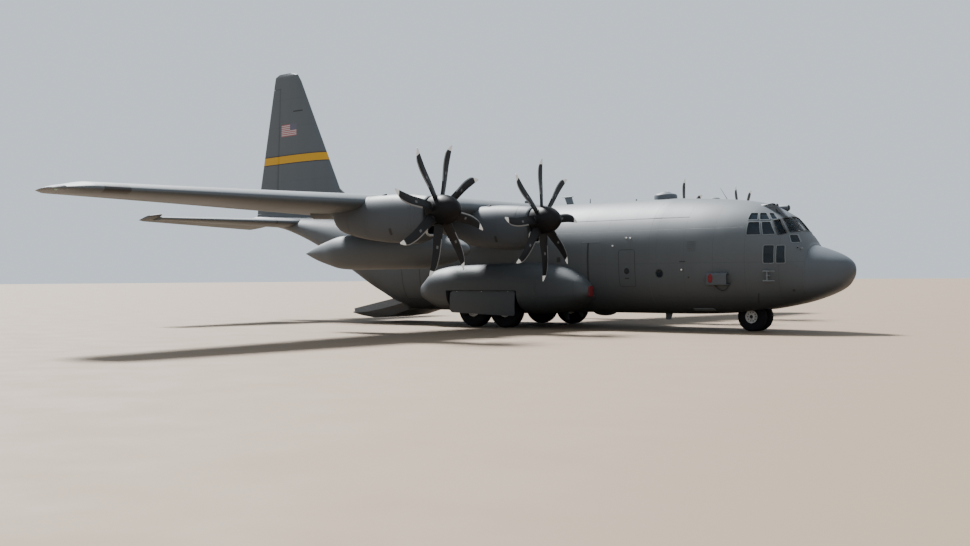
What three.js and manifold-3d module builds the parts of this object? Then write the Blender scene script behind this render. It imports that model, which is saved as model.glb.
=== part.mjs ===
// A four-engined military transport plane, parked with its ramp down, as a half-size model.
// Every shape is worked out in metres of the full-size aeroplane: X runs forward from the middle
// of the main wheels, Y to port, Z up from the ground. The root group scales it to the model.
import * as THREE from 'three';
import { mergeVertices } from 'three/addons/utils/BufferGeometryUtils.js';
import Module from 'manifold-3d';

const wasm = await Module();
wasm.setup();

// Driving dimensions, in metres of the full-size aeroplane.
const MODEL_MM_PER_METRE = 500;
const LENGTH_CENTRE_X = -1.665;
const SEAT_GAP = 0.0006;
const RUN_GAP = 0.012;
const WALL = 0.12;
const RING_POINTS = 28;
const CROWN_POWER = 2.1;
const BELLY_POWER = 3.0;
const FLOOR_TOP = 1.03;
const FLOOR_THICKNESS = 0.1;
const SIDES = [['left', 1], ['right', -1]];

// Fuselage stations: x, underside z, crown z, half width.
const RADOME_STATIONS = [
  [13.23, 2.00, 2.12, 0.06],
  [13.14, 1.80, 2.30, 0.28],
  [12.90, 1.50, 2.50, 0.55],
  [12.40, 1.24, 2.72, 0.85],
  [11.95, 1.08, 2.87, 1.06],
];
const NOSE_STATIONS = [
  [11.95, 1.08, 2.87, 1.06],
  [11.60, 0.98, 3.34, 1.24],
  [11.20, 0.89, 3.82, 1.40],
  [10.90, 0.83, 4.02, 1.51],
  [10.20, 0.72, 4.33, 1.75],
  [9.40, 0.63, 4.47, 1.95],
  [8.50, 0.58, 4.56, 2.07],
  [7.50, 0.56, 4.62, 2.12],
  [6.85, 0.56, 4.655, 2.135],
];
const CENTRE_STATIONS = [
  [6.85, 0.56, 4.655, 2.135],
  [-5.06, 0.56, 4.66, 2.14],
];
const TAIL_STATIONS = [
  [-5.06, 0.56, 4.66, 2.14],
  [-6.50, 1.12, 4.66, 2.12],
  [-8.00, 1.92, 4.67, 2.02],
  [-10.00, 2.98, 4.70, 1.76],
  [-12.00, 3.76, 4.74, 1.38],
  [-13.50, 4.18, 4.79, 1.06],
  [-15.00, 4.42, 4.86, 0.70],
  [-16.20, 4.56, 4.92, 0.40],
  [-16.56, 4.68, 4.84, 0.14],
];
const DOOR_KNUCKLE = { x: -12.40, z: 4.02, radius: 0.06 };
const TAIL_CAVITY_END = DOOR_KNUCKLE.x - DOOR_KNUCKLE.radius - SEAT_GAP;

// Wing sections: y, leading edge x, leading edge z, chord, incidence in degrees, thickness ratio.
const WING_SECTIONS = [
  [0, 1.90, 4.30, 4.88, 3.0, 0.170],
  [5.59, 1.90, 4.30, 4.88, 3.0, 0.170],
  [12.75, 1.56, 4.23, 3.72, 1.5, 0.145],
  [19.60, 1.22, 4.19, 2.60, 0.0, 0.120],
  [20.10, 0.72, 4.20, 1.55, 0.0, 0.080],
  [20.205, 0.25, 4.21, 0.75, 0.0, 0.040],
];
const WING_JOINT_Y = 5.59;
const WING_CAMBER = 0.02;
const FLAP_START = 0.69;
const AILERON_START = 0.75;
const FLAP_ROOT_Y = 2.22;
const FLAP_TIP_Y = 12.72;
const AILERON_TIP_Y = 19.55;
const INNER_FLAP_TRACKS = [2.9, 4.9];
const OUTER_FLAP_TRACKS = [6.6, 9.2, 11.8];
const AILERON_HINGES = [13.6, 16.2, 18.8];

// Tailplane sections: y, leading edge x, leading edge z, chord, incidence, thickness ratio.
const TAILPLANE_SECTIONS = [
  [0, -11.62, 4.46, 3.70, 0, 0.12],
  [7.70, -13.20, 4.46, 1.22, 0, 0.11],
  [8.025, -13.45, 4.46, 0.82, 0, 0.08],
];
const ELEVATOR_HINGE_X = -13.92;
const ELEVATOR_HINGE_Z = 4.46;
// Parked, the elevators hang this far below level.
const ELEVATOR_DROOP = 11.5;
const ELEVATOR_ROOT_Y = 1.42;
const ELEVATOR_HINGES = [2.0, 4.5, 7.0];
const ELEVATOR_TIP_Y = 7.60;
const TAILPLANE_TIP_Y = 8.025;

// Fin sections: z, leading edge x, trailing edge x, thickness ratio.
const FIN_SECTIONS = [
  [4.40, -9.75, -16.40, 0.12],
  [11.20, -13.07, -14.95, 0.11],
  [11.54, -13.30, -14.87, 0.09],
  [11.66, -13.75, -14.60, 0.05],
];
const FIN_FOOT_Z = 4.64;
const FIN_TOP_Z = 11.66;
const RUDDER_BOTTOM_Z = 5.05;
const RUDDER_HINGES = [5.6, 8.0, 10.4];
const RUDDER_TOP_Z = 10.95;
const RUDDER_AXIS = [[-14.72, 5.05], [-14.50, 10.95]];

// Engines: name, y, propeller axis z, blade phase in degrees from straight up towards port.
const PROPELLER_X = 4.43;
const PROPELLER_RADIUS = 2.057;
const BLADES = 8;
const ENGINES = [
  ['outer_left', 10.14, 3.90, 24.0],
  ['inner_left', 4.95, 3.80, -3.7],
  ['inner_right', -4.95, 3.80, -3.7],
  ['outer_right', -10.14, 3.90, 11.2],
];
const ENGINE_BLOCK = { front: 3.42, rear: 1.20, drop: 0.33, radius: 0.32 };
const PROPELLER_SHAFT_RADIUS = 0.12;
// Nacelle stations: x, top and bottom measured from the propeller axis, half width.
const NACELLE_STATIONS = [
  [4.10, 0.44, -0.72, 0.45],
  [3.90, 0.48, -0.88, 0.49],
  [3.40, 0.53, -0.98, 0.55],
  [2.60, 0.57, -0.94, 0.58],
  [1.60, 0.56, -0.83, 0.56],
  [0.75, 0.50, -0.66, 0.50],
  [0.28, 0.46, -0.50, 0.42],
  [0.04, 0.44, -0.12, 0.34],
  [-1.06, 0.30, -0.06, 0.24],
];
// The exhaust opens at the nacelle's rear end: half width, then low and high from the axis.
const EXHAUST = { rear: -1.10, depth: 0.45, half: 0.19, low: -0.03, high: 0.20 };

// Wheels: radius, width, rim radius.
const MAIN_WHEEL = { radius: 0.71, width: 0.51, rim: 0.27 };
const NOSE_WHEEL = { radius: 0.495, width: 0.33, rim: 0.215 };
const MAIN_WHEELBASE_HALF = 0.76;
const MAIN_TRACK_HALF = 2.17;
const MAIN_STRUT_Y = 1.70;
const NOSE_GEAR_X = 9.77;
const NOSE_WHEEL_Y = 0.24;
const NOSE_WELL = { front: 10.42, rear: 9.12, half: 0.62, roof: 1.42 };

// Sponson stations: x, underside z, top z, outer face y.
const SPONSON_STATIONS = [
  [4.50, 1.15, 1.62, 2.36],
  [4.20, 0.93, 1.95, 2.62],
  [3.35, 0.66, 2.32, 2.86],
  [1.90, 0.52, 2.46, 2.95],
  [-1.60, 0.52, 2.42, 2.95],
  [-2.60, 0.66, 2.28, 2.86],
  [-3.22, 0.95, 1.80, 2.62],
];
const SPONSON_INNER_Y = 1.35;
const WHEEL_WELL = { front: 1.76, rear: -1.62, roof: 1.40, inner: 1.50 };

// Under-wing tanks: y and stations along X of the body, x then radius.
const TANK_Y = 7.5;
const TANK_Z = 2.80;
const TANK_PROFILE = [
  [3.37, 0], [3.20, 0.18], [2.80, 0.36], [2.10, 0.52], [1.20, 0.61],
  [-1.80, 0.62], [-2.50, 0.585], [-3.20, 0.43], [-3.83, 0.25], [-4.50, 0],
];

const PAINT_GREY = 0x5f6468;
const PAINT_DARK = 0x2b2d30;
const FLOOR_GREY = 0x6f7376;
const finishes = {
  paint: { color: PAINT_GREY, roughness: 0.62, metalness: 0.05 },
  radome: { color: 0x595d61, roughness: 0.6, metalness: 0.0 },
  black: { color: PAINT_DARK, roughness: 0.45, metalness: 0.0 },
  rubber: { color: 0x1c1c1d, roughness: 0.9, metalness: 0.0 },
  rim: { color: 0xb9bbb8, roughness: 0.5, metalness: 0.3 },
  steel: { color: 0x8d9194, roughness: 0.4, metalness: 0.8 },
  floor: { color: FLOOR_GREY, roughness: 0.7, metalness: 0.2 },
  glass: { color: 0x27333d, roughness: 0.1, metalness: 0.0 },
};

const degrees = (angle) => angle * Math.PI / 180;
const mix = (a, b, t) => a + (b - a) * t;

// Geometry from a list of vertices and triangles, with its faces pointing out.
function meshFrom(points, triangles) {
  let volume = 0;
  for (const [a, b, c] of triangles) {
    const [p, q, r] = [points[a], points[b], points[c]];
    volume += p[0] * (q[1] * r[2] - q[2] * r[1]) - p[1] * (q[0] * r[2] - q[2] * r[0])
      + p[2] * (q[0] * r[1] - q[1] * r[0]);
  }
  const order = volume < 0 ? triangles.map(([a, b, c]) => [a, c, b]) : triangles;
  const geometry = new THREE.BufferGeometry();
  geometry.setAttribute('position', new THREE.Float32BufferAttribute(points.flat(), 3));
  geometry.setIndex(order.flat());
  return geometry;
}

// A closed skin through rings of equally many points, with a fan over each end.
function loft(rings) {
  const count = rings[0].length;
  const points = rings.flat();
  const triangles = [];
  for (let r = 0; r + 1 < rings.length; r += 1) {
    for (let i = 0; i < count; i += 1) {
      const a = r * count + i;
      const b = r * count + (i + 1) % count;
      triangles.push([a, b, b + count], [a, b + count, a + count]);
    }
  }
  for (const [ring, start, turn] of [[rings[0], 0, true], [rings.at(-1), points.length - count, false]]) {
    const centre = points.length;
    points.push([0, 1, 2].map((k) => ring.reduce((sum, p) => sum + p[k], 0) / count));
    for (let i = 0; i < count; i += 1) {
      const a = start + i;
      const b = start + (i + 1) % count;
      triangles.push(turn ? [centre, b, a] : [centre, a, b]);
    }
  }
  return meshFrom(points, triangles);
}

function solidOf(geometry) {
  const shape = geometry.clone();
  shape.deleteAttribute('normal');
  shape.deleteAttribute('uv');
  const merged = mergeVertices(shape, 1e-5);
  return new wasm.Manifold(new wasm.Mesh({
    numProp: 3,
    vertProperties: new Float32Array(merged.attributes.position.array),
    triVerts: new Uint32Array(merged.index.array),
  }));
}

function geometryOf(solid) {
  const { vertProperties, triVerts } = solid.getMesh();
  const geometry = new THREE.BufferGeometry();
  geometry.setAttribute('position', new THREE.BufferAttribute(vertProperties, 3));
  geometry.setIndex(new THREE.BufferAttribute(triVerts, 1));
  return geometry;
}

const loftSolid = (rings) => solidOf(loft(rings));
const join = (solids) => solids.reduce((whole, piece) => whole.add(piece));
const mirrorY = (solid) => solid.mirror([0, 1, 0]);
const onSide = (solid, side) => (side > 0 ? solid : mirrorY(solid));

function box([x0, x1], [y0, y1], [z0, z1]) {
  const geometry = new THREE.BoxGeometry(x1 - x0, y1 - y0, z1 - z0);
  geometry.translate((x0 + x1) / 2, (y0 + y1) / 2, (z0 + z1) / 2);
  return solidOf(geometry);
}

// A plate whose outline is drawn in X and Z, from y0 to y1.
function plateXZ(outline, y0, y1) {
  const shape = new THREE.Shape(outline.map(([x, z]) => new THREE.Vector2(x, z)));
  const geometry = new THREE.ExtrudeGeometry(shape, { depth: y1 - y0, bevelEnabled: false });
  geometry.rotateX(Math.PI / 2);
  geometry.translate(0, y1, 0);
  return solidOf(geometry);
}

// A plate whose outline is drawn in X and Y, from z0 to z1.
function plateXY(outline, z0, z1) {
  const shape = new THREE.Shape(outline.map(([x, y]) => new THREE.Vector2(x, y)));
  const geometry = new THREE.ExtrudeGeometry(shape, { depth: z1 - z0, bevelEnabled: false });
  geometry.translate(0, 0, z0);
  return solidOf(geometry);
}

// A plate whose outline is drawn in Y and Z, from x0 to x1.
function plateYZ(outline, x0, x1) {
  const shape = new THREE.Shape(outline.map(([y, z]) => new THREE.Vector2(y, z)));
  const geometry = new THREE.ExtrudeGeometry(shape, { depth: x1 - x0, bevelEnabled: false });
  geometry.rotateY(Math.PI / 2);
  geometry.rotateX(Math.PI / 2);
  geometry.translate(x0, 0, 0);
  return solidOf(geometry);
}

// A round bar between two points.
function bar(from, to, radius, sides = 12) {
  const start = new THREE.Vector3(...from);
  const axis = new THREE.Vector3(...to).sub(start);
  const geometry = new THREE.CylinderGeometry(radius, radius, axis.length(), sides);
  geometry.translate(0, axis.length() / 2, 0);
  geometry.applyQuaternion(new THREE.Quaternion().setFromUnitVectors(
    new THREE.Vector3(0, 1, 0), axis.clone().normalize()));
  geometry.translate(...from);
  return solidOf(geometry);
}

// A turned shape about an axis along Y; the profile lists radius and y.
function turnedY(profile, sides, [x, y, z]) {
  const geometry = new THREE.LatheGeometry(profile.map(([r, h]) => new THREE.Vector2(r, h)), sides);
  geometry.translate(x, y, z);
  return solidOf(geometry);
}

// A turned shape about an axis along X; the profile lists x and radius.
function turnedX(profile, sides, [x, y, z]) {
  const points = profile.map(([h, r]) => new THREE.Vector2(r, h));
  const geometry = new THREE.LatheGeometry(points, sides);
  geometry.rotateZ(-Math.PI / 2);
  geometry.translate(x, y, z);
  return solidOf(geometry);
}

// One ring of the fuselage, fuller below than above; grow moves its skin out.
function bodyRing([x, under, crown, half], grow = 0) {
  const middle = (under + crown) / 2;
  const height = (crown - under) / 2 + grow;
  return Array.from({ length: RING_POINTS }, (_, i) => {
    const angle = 2 * Math.PI * i / RING_POINTS;
    const [c, s] = [Math.cos(angle), Math.sin(angle)];
    const power = 2 / (s > 0 ? CROWN_POWER : BELLY_POWER);
    return [
      x,
      (half + grow) * Math.sign(c) * Math.abs(c) ** power,
      middle + height * Math.sign(s) * Math.abs(s) ** power,
    ];
  });
}

function bodySolid(stations, grow = 0) {
  return loftSolid(stations.map((station) => bodyRing(station, grow)));
}

// The same stations with the two ends moved along X, for cutters that pass right through.
function stretched(stations, front, rear) {
  const copy = stations.map((station) => [...station]);
  copy[0][0] += front;
  copy.at(-1)[0] -= rear;
  return copy;
}

// A section of a wing between two parts of its chord. Half thickness and camber follow the
// usual four-digit formulas; the trailing edge keeps a small thickness.
const SECTION_STEPS = [0, 0.015, 0.06, 0.15, 0.3, 0.45, 0.6, 0.75, 0.88, 1];
const halfThickness = (u, ratio) => 5 * ratio * (0.2969 * Math.sqrt(u) - 0.1260 * u
  - 0.3516 * u ** 2 + 0.2843 * u ** 3 - 0.1015 * u ** 4) + 0.001;
const camberAt = (u, camber) => 4 * camber * u * (1 - u);

function sectionPoints(to, chord, ratio, camber, grow = 0) {
  const steps = SECTION_STEPS.map((step) => step * to);
  const upper = steps.map((u) => [u * chord, (camberAt(u, camber) + halfThickness(u, ratio)) * chord + grow]);
  const lower = steps.map((u) => [u * chord, (camberAt(u, camber) - halfThickness(u, ratio)) * chord - grow]);
  return [...upper.reverse(), ...lower];
}

function interpolate(table, key) {
  const next = Math.max(1, table.findIndex((row) => row[0] >= key));
  const [a, b] = [table[next - 1], table[next]];
  const t = (key - a[0]) / (b[0] - a[0]);
  return a.map((value, i) => mix(value, b[i], t));
}

// The sections of a table between two places on its span, with both ends and any extra places.
function spanRows(table, from, to, extra = []) {
  const inner = table.map((row) => row[0]).filter((key) => key > from + 0.01 && key < to - 0.01);
  return [from, ...inner, ...extra, to].sort((a, b) => a - b).map((key) => interpolate(table, key));
}

// One spanwise ring of a wing or tailplane, from the leading edge to a part of the chord.
function wingRing([y, edgeX, edgeZ, chord, incidence, ratio], to, camber, grow = 0) {
  const tilt = Math.tan(degrees(incidence));
  return sectionPoints(to, chord, ratio, camber, grow)
    .map(([back, up]) => [
      edgeX - back + grow * (1 - 2 * back / (to * chord)),
      y,
      edgeZ + up - back * tilt,
    ]);
}

function wingSolid(y0, y1, to, grow = 0) {
  return loftSolid(spanRows(WING_SECTIONS, y0, y1).map((row) => wingRing(row, to, WING_CAMBER, grow)));
}

// The nose of a hinged rear piece is this part of the section's thickness there.
const NOSE_FILL = 0.94;
// Where a hinged piece's axis lies, as a part of the chord, if its nose clears the spar at start.
const hingePart = ([, , , chord, , ratio], start) => start + RUN_GAP / chord
  + NOSE_FILL * halfThickness(start, ratio);

// A hinged rear piece: its nose is round about the hinge, and its tail follows the section.
const NOSE_STEPS = 6;
const placer = ([y, edgeX, edgeZ, , incidence]) => ([back, up]) => [
  edgeX - back, y, edgeZ + up - back * Math.tan(degrees(incidence)),
];
function hingedRing(row, hinge, camber) {
  const [, , , chord, , ratio] = row;
  const radius = halfThickness(hinge, ratio) * chord * NOSE_FILL;
  const place = placer(row);
  const middle = [hinge * chord, camberAt(hinge, camber) * chord];
  const nose = Array.from({ length: NOSE_STEPS + 1 }, (_, i) => {
    const angle = Math.PI * (0.5 + i / NOSE_STEPS);
    return place([middle[0] + radius * Math.cos(angle), middle[1] + radius * Math.sin(angle)]);
  });
  const rest = [hinge + (1 - hinge) * 0.45, 1];
  const upper = rest.map((u) => place([u * chord, (camberAt(u, camber) + halfThickness(u, ratio)) * chord]));
  const lower = rest.map((u) => place([u * chord, (camberAt(u, camber) - halfThickness(u, ratio)) * chord]));
  return [...nose, ...lower, ...upper.reverse()];
}

// A short hinge bracket between a spar and the round nose behind it.
const BRACKET_WIDTH = 0.05;
const BRACKET_HEIGHT = 0.07;
function bracketRing(row, hinge, camber) {
  const [, , , chord, , ratio] = row;
  const nose = hinge * chord - halfThickness(hinge, ratio) * chord * NOSE_FILL - SEAT_GAP;
  const middle = camberAt(hinge, camber) * chord;
  const [low, high] = [middle - BRACKET_HEIGHT / 2, middle + BRACKET_HEIGHT / 2];
  return [[nose, low], [nose, high], [nose - 0.06, high], [nose - 0.06, low]].map(placer(row));
}
const brackets = (places, rowAt, ringOf) => places.map((place) => loftSolid(
  [place - BRACKET_WIDTH / 2, place + BRACKET_WIDTH / 2].map((key) => ringOf(rowAt(key)))));

const parts = [];
function addPart(name, solid, finish) {
  parts.push([name, solid, finish]);
}

// Wing: the boxes ahead of the flaps and ailerons, and the tips.
const WING_TIP_Y = 20.205;
const centreBox = (grow) => wingSolid(0, WING_JOINT_Y - SEAT_GAP / 2, FLAP_START, grow);
const wingBrackets = (places, start) => brackets(places, (y) => interpolate(WING_SECTIONS, y),
  (row) => bracketRing(row, hingePart(row, start), WING_CAMBER));
const outerWing = (grow) => join([
  wingSolid(WING_JOINT_Y + SEAT_GAP / 2, FLAP_TIP_Y, FLAP_START, grow),
  wingSolid(FLAP_TIP_Y, AILERON_TIP_Y, AILERON_START, grow),
  wingSolid(AILERON_TIP_Y, WING_TIP_Y, 1, grow),
]);
const centreWing = join([centreBox(0), ...wingBrackets(INNER_FLAP_TRACKS, FLAP_START)]);
addPart('wing_center', join([centreWing, mirrorY(centreWing)]), 'paint');
const centreCutter = join([centreBox(SEAT_GAP), mirrorY(centreBox(SEAT_GAP))]);
const wingCutter = join([centreCutter, outerWing(SEAT_GAP), mirrorY(outerWing(SEAT_GAP))]);

const hingedPiece = (y0, y1, start) => loftSolid(spanRows(WING_SECTIONS, y0, y1)
  .map((row) => hingedRing(row, hingePart(row, start), WING_CAMBER)));
const flapInner = hingedPiece(FLAP_ROOT_Y, WING_JOINT_Y - RUN_GAP, FLAP_START);
// The outer flap's line leans, so its tip swings outwards as it comes down.
const FLAP_SWING = 0.085;
const flapOuter = hingedPiece(WING_JOINT_Y + RUN_GAP, FLAP_TIP_Y - FLAP_SWING, FLAP_START);
const aileron = hingedPiece(FLAP_TIP_Y + RUN_GAP, AILERON_TIP_Y - RUN_GAP, AILERON_START);
const outerWithBrackets = join([outerWing(0), ...wingBrackets(OUTER_FLAP_TRACKS, FLAP_START),
  ...wingBrackets(AILERON_HINGES, AILERON_START)]);
for (const [name, side] of SIDES) {
  addPart(`wing_outer_${name}`, onSide(outerWithBrackets, side), 'paint');
  addPart(`flap_inner_${name}`, onSide(flapInner, side), 'paint');
  addPart(`flap_outer_${name}`, onSide(flapOuter, side), 'paint');
  addPart(`aileron_${name}`, onSide(aileron, side), 'paint');
}

// Tailplane: its box ends ahead of the elevators' straight hinge line.
const elevatorHingePart = (row) => (row[1] - ELEVATOR_HINGE_X) / row[3];
const tailplaneBoxPart = (row) => elevatorHingePart(row) - RUN_GAP / row[3]
  - NOSE_FILL * halfThickness(elevatorHingePart(row), row[5]);
const tailplaneHalf = (grow) => loftSolid(spanRows(TAILPLANE_SECTIONS, 0, ELEVATOR_TIP_Y)
  .map((row) => wingRing(row, tailplaneBoxPart(row), 0, grow)));
const tailplaneWithBrackets = join([tailplaneHalf(0), ...brackets(ELEVATOR_HINGES,
  (y) => interpolate(TAILPLANE_SECTIONS, y), (row) => bracketRing(row, elevatorHingePart(row), 0))]);
addPart('tailplane', join([tailplaneWithBrackets, mirrorY(tailplaneWithBrackets)]), 'paint');
const tailplaneCutter = join([tailplaneHalf(SEAT_GAP), mirrorY(tailplaneHalf(SEAT_GAP))]);
// The whole tip turns with the elevator, as its balance horn.
const HORN_ROOT_Y = ELEVATOR_TIP_Y + RUN_GAP;
const levelElevator = join([
  loftSolid(spanRows(TAILPLANE_SECTIONS, ELEVATOR_ROOT_Y, HORN_ROOT_Y + 0.01, ELEVATOR_HINGES)
    .map((row) => hingedRing(row, elevatorHingePart(row), 0))),
  loftSolid(spanRows(TAILPLANE_SECTIONS, HORN_ROOT_Y, TAILPLANE_TIP_Y)
    .map((row) => wingRing(row, 1, 0))),
]);
const elevator = levelElevator
  .translate([-ELEVATOR_HINGE_X, 0, -ELEVATOR_HINGE_Z])
  .rotate([0, -ELEVATOR_DROOP, 0])
  .translate([ELEVATOR_HINGE_X, 0, ELEVATOR_HINGE_Z]);
for (const [name, side] of SIDES) {
  addPart(`elevator_${name}`, onSide(elevator, side), 'paint');
}

// Fuselage shells.
const bodyGrown = join([
  bodySolid(stretched(NOSE_STATIONS, 0, 0.01), SEAT_GAP),
  bodySolid(stretched(CENTRE_STATIONS, 0.01, 0.01), SEAT_GAP),
  bodySolid(stretched(TAIL_STATIONS, 0.01, 0), SEAT_GAP),
]);

// The hollow inside the wall, open at both ends of its stations and flat at the floor.
function cavity(stations, floor) {
  const inside = bodySolid(stretched(stations, 0.02, 0.02), -WALL);
  return inside.intersect(box([-20, 20], [-3, 3], [floor, 6]));
}

addPart('radome', bodySolid(stretched(RADOME_STATIONS, 0, -SEAT_GAP)), 'radome');

const DECK_STATIONS = NOSE_STATIONS.slice(1);
const wellHouse = box([NOSE_WELL.rear - WALL, NOSE_WELL.front + WALL],
  [-NOSE_WELL.half - WALL, NOSE_WELL.half + WALL], [0, NOSE_WELL.roof + WALL]);
const noseWall = bodySolid(NOSE_STATIONS)
  .subtract(cavity(stretched(DECK_STATIONS, -0.1, 0), FLOOR_TOP - FLOOR_THICKNESS).subtract(wellHouse));

// Flight deck windows on each side: outline in X and Z.
const SIDE_WINDOWS = [
  [[10.16, 3.72], [10.44, 3.72], [10.37, 3.95], [10.17, 3.95]],
  [[10.51, 3.72], [10.77, 3.72], [10.58, 3.95], [10.42, 3.95]],
  [[10.83, 3.73], [10.96, 3.74], [10.76, 3.94], [10.65, 3.95]],
  [[10.22, 3.22], [10.63, 3.22], [10.51, 3.64], [10.20, 3.64]],
  [[10.71, 3.22], [11.05, 3.23], [10.81, 3.64], [10.58, 3.64]],
  [[11.13, 3.25], [11.31, 3.30], [11.02, 3.71], [10.90, 3.66]],
  [[11.55, 2.95], [11.70, 2.97], [11.60, 3.19], [11.48, 3.19]],
  [[10.77, 2.29], [11.08, 2.29], [11.07, 2.86], [10.77, 2.86]],
  [[11.15, 2.29], [11.41, 2.29], [11.37, 2.85], [11.15, 2.85]],
];
// Windscreen panes: outline in Y and Z; the side pane is on both sides.
const FRONT_WINDOWS = [
  [[-0.33, 3.39], [0.33, 3.39], [0.24, 3.79], [-0.24, 3.79]],
  [[0.42, 3.38], [0.88, 3.33], [0.70, 3.72], [0.37, 3.76]],
];
const ROUND_WINDOW = { x: 7.26, z: 2.00, radius: 0.2 };
const roundCut = bar([ROUND_WINDOW.x, 0, ROUND_WINDOW.z], [ROUND_WINDOW.x, -3, ROUND_WINDOW.z],
  ROUND_WINDOW.radius, 16);
const crewDoorBox = (gap) => box([8.55 + gap, 9.31 - gap], [1.2, 2.4], [1.04 + gap, 2.18 - gap]);

// Forms on the outside of the nose: two sensor pods over the windscreen and a scoop to starboard.
const AIR_SCOOP = { rear: 9.06, front: 9.72, low: 1.57, high: 1.97, outer: 2.08 };
const SENSOR_POD = { front: 10.80, rear: 10.25, y: 0.46, z: 4.17, radius: 0.11 };
const sensorPod = bar([SENSOR_POD.rear, SENSOR_POD.y, SENSOR_POD.z],
  [SENSOR_POD.front, SENSOR_POD.y, SENSOR_POD.z], SENSOR_POD.radius);
const noseForms = join([sensorPod, mirrorY(sensorPod), plateYZ([
  [-1.75, AIR_SCOOP.low], [-AIR_SCOOP.outer, AIR_SCOOP.low + 0.05], [-AIR_SCOOP.outer, AIR_SCOOP.high - 0.1],
  [0.1 - AIR_SCOOP.outer, AIR_SCOOP.high], [-1.75, AIR_SCOOP.high],
].reverse(), AIR_SCOOP.rear, AIR_SCOOP.front)]).subtract(bodySolid(NOSE_STATIONS, -WALL));
let noseShell = noseWall.add(noseForms).subtract(box([NOSE_WELL.rear, NOSE_WELL.front],
  [-NOSE_WELL.half, NOSE_WELL.half], [0, NOSE_WELL.roof]));
for (const outline of SIDE_WINDOWS) {
  const cut = plateXZ(outline, 0.5, 2.4);
  noseShell = noseShell.subtract(cut).subtract(mirrorY(cut));
}
for (const outline of FRONT_WINDOWS) {
  const cut = plateYZ(outline, 10.5, 12.2);
  noseShell = noseShell.subtract(cut).subtract(mirrorY(cut));
}
noseShell = noseShell.subtract(roundCut).subtract(crewDoorBox(0));
addPart('nose_shell', noseShell, 'paint');
addPart('crew_door', noseWall.intersect(crewDoorBox(RUN_GAP)), 'paint');

// Small outer forms, each sunk a little into the skin that carries it.
const SATCOM_DOME = { x: 6.33, radius: 0.45, low: 4.50, shoulder: 4.85, top: 4.91 };
const ROOF_AERIAL = [[2.43, 4.5], [2.18, 4.5], [2.04, 4.95], [2.29, 4.95]];
const BELLY_AERIAL = [[6.62, 0.7], [6.30, 0.7], [6.30, 0.32], [6.50, 0.32]];
const BELLY_BLISTER = { x: 3.73, z: 0.60, half: [0.48, 0.40, 0.18] };
const satcomDome = new THREE.LatheGeometry([[0, SATCOM_DOME.low], [SATCOM_DOME.radius, SATCOM_DOME.low],
  [SATCOM_DOME.radius, SATCOM_DOME.shoulder - 0.06], [SATCOM_DOME.radius - 0.06, SATCOM_DOME.shoulder],
  [0.12, SATCOM_DOME.shoulder + 0.02], [0.08, SATCOM_DOME.top], [0, SATCOM_DOME.top]]
  .map(([r, h]) => new THREE.Vector2(r, h)), 20);
satcomDome.rotateX(Math.PI / 2);
satcomDome.translate(SATCOM_DOME.x, 0, 0);
const bellyBlister = new THREE.SphereGeometry(1, 14, 8);
bellyBlister.scale(...BELLY_BLISTER.half);
bellyBlister.translate(BELLY_BLISTER.x, 0, BELLY_BLISTER.z);
const hollow = cavity(stretched(CENTRE_STATIONS, 0.2, 0.2), FLOOR_TOP - FLOOR_THICKNESS);
const centreForms = join([
  solidOf(satcomDome),
  plateXZ([...ROOF_AERIAL].reverse(), -0.03, 0.03),
  plateXZ([...BELLY_AERIAL].reverse(), -0.03, 0.03),
  solidOf(bellyBlister),
]).subtract(hollow);

const paratroopBox = (gap, side) => onSide(
  box([-4.67 + gap, -3.74 - gap], [1.2, 2.4], [1.06 + gap, 2.89 - gap]), side);
const centreStations = stretched(CENTRE_STATIONS, -SEAT_GAP, -SEAT_GAP);
const centreWall = bodySolid(centreStations)
  .subtract(cavity(CENTRE_STATIONS, FLOOR_TOP - FLOOR_THICKNESS))
  .add(centreForms)
  .subtract(centreCutter);
addPart('centre_fuselage', centreWall
  .subtract(paratroopBox(0, 1)).subtract(paratroopBox(0, -1)), 'paint');
for (const [name, side] of SIDES) {
  addPart(`paratroop_door_${name}`, centreWall.intersect(paratroopBox(SEAT_GAP, side)), 'paint');
}

// The tail opening: a plan outline and a side outline that cross.
const openingPlan = plateXY([[-4.9, -1.57], [-8.25, -1.57], [TAIL_CAVITY_END, -0.95],
  [TAIL_CAVITY_END, 0.95], [-8.25, 1.57], [-4.9, 1.57]].reverse(), 0, 5);
const openingSide = plateXZ([[-4.9, 0.1], [-4.9, 2.2], [-9.0, 3.4], [-12.0, 4.1],
  [TAIL_CAVITY_END, 4.1], [TAIL_CAVITY_END, 0.1]], -2, 2);
const tailCavityStations = [
  ...TAIL_STATIONS.slice(0, 5),
  interpolate(TAIL_STATIONS.toReversed(), TAIL_CAVITY_END),
];
addPart('aft_fuselage', bodySolid(TAIL_STATIONS)
  .subtract(cavity(stretched(tailCavityStations, 0, -0.02), 0))
  .subtract(openingPlan.intersect(openingSide))
  .subtract(tailplaneCutter), 'paint');

// Floors.
const floorFrom = (stations, x0, x1, z1, thickness) => bodySolid(stretched(stations, 1, 1), -WALL - SEAT_GAP)
  .intersect(box([x0, x1], [-3, 3], [z1 - thickness + SEAT_GAP, z1]));
addPart('cargo_floor', floorFrom(CENTRE_STATIONS, -5.0594, 6.83, FLOOR_TOP, FLOOR_THICKNESS), 'floor');

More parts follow.
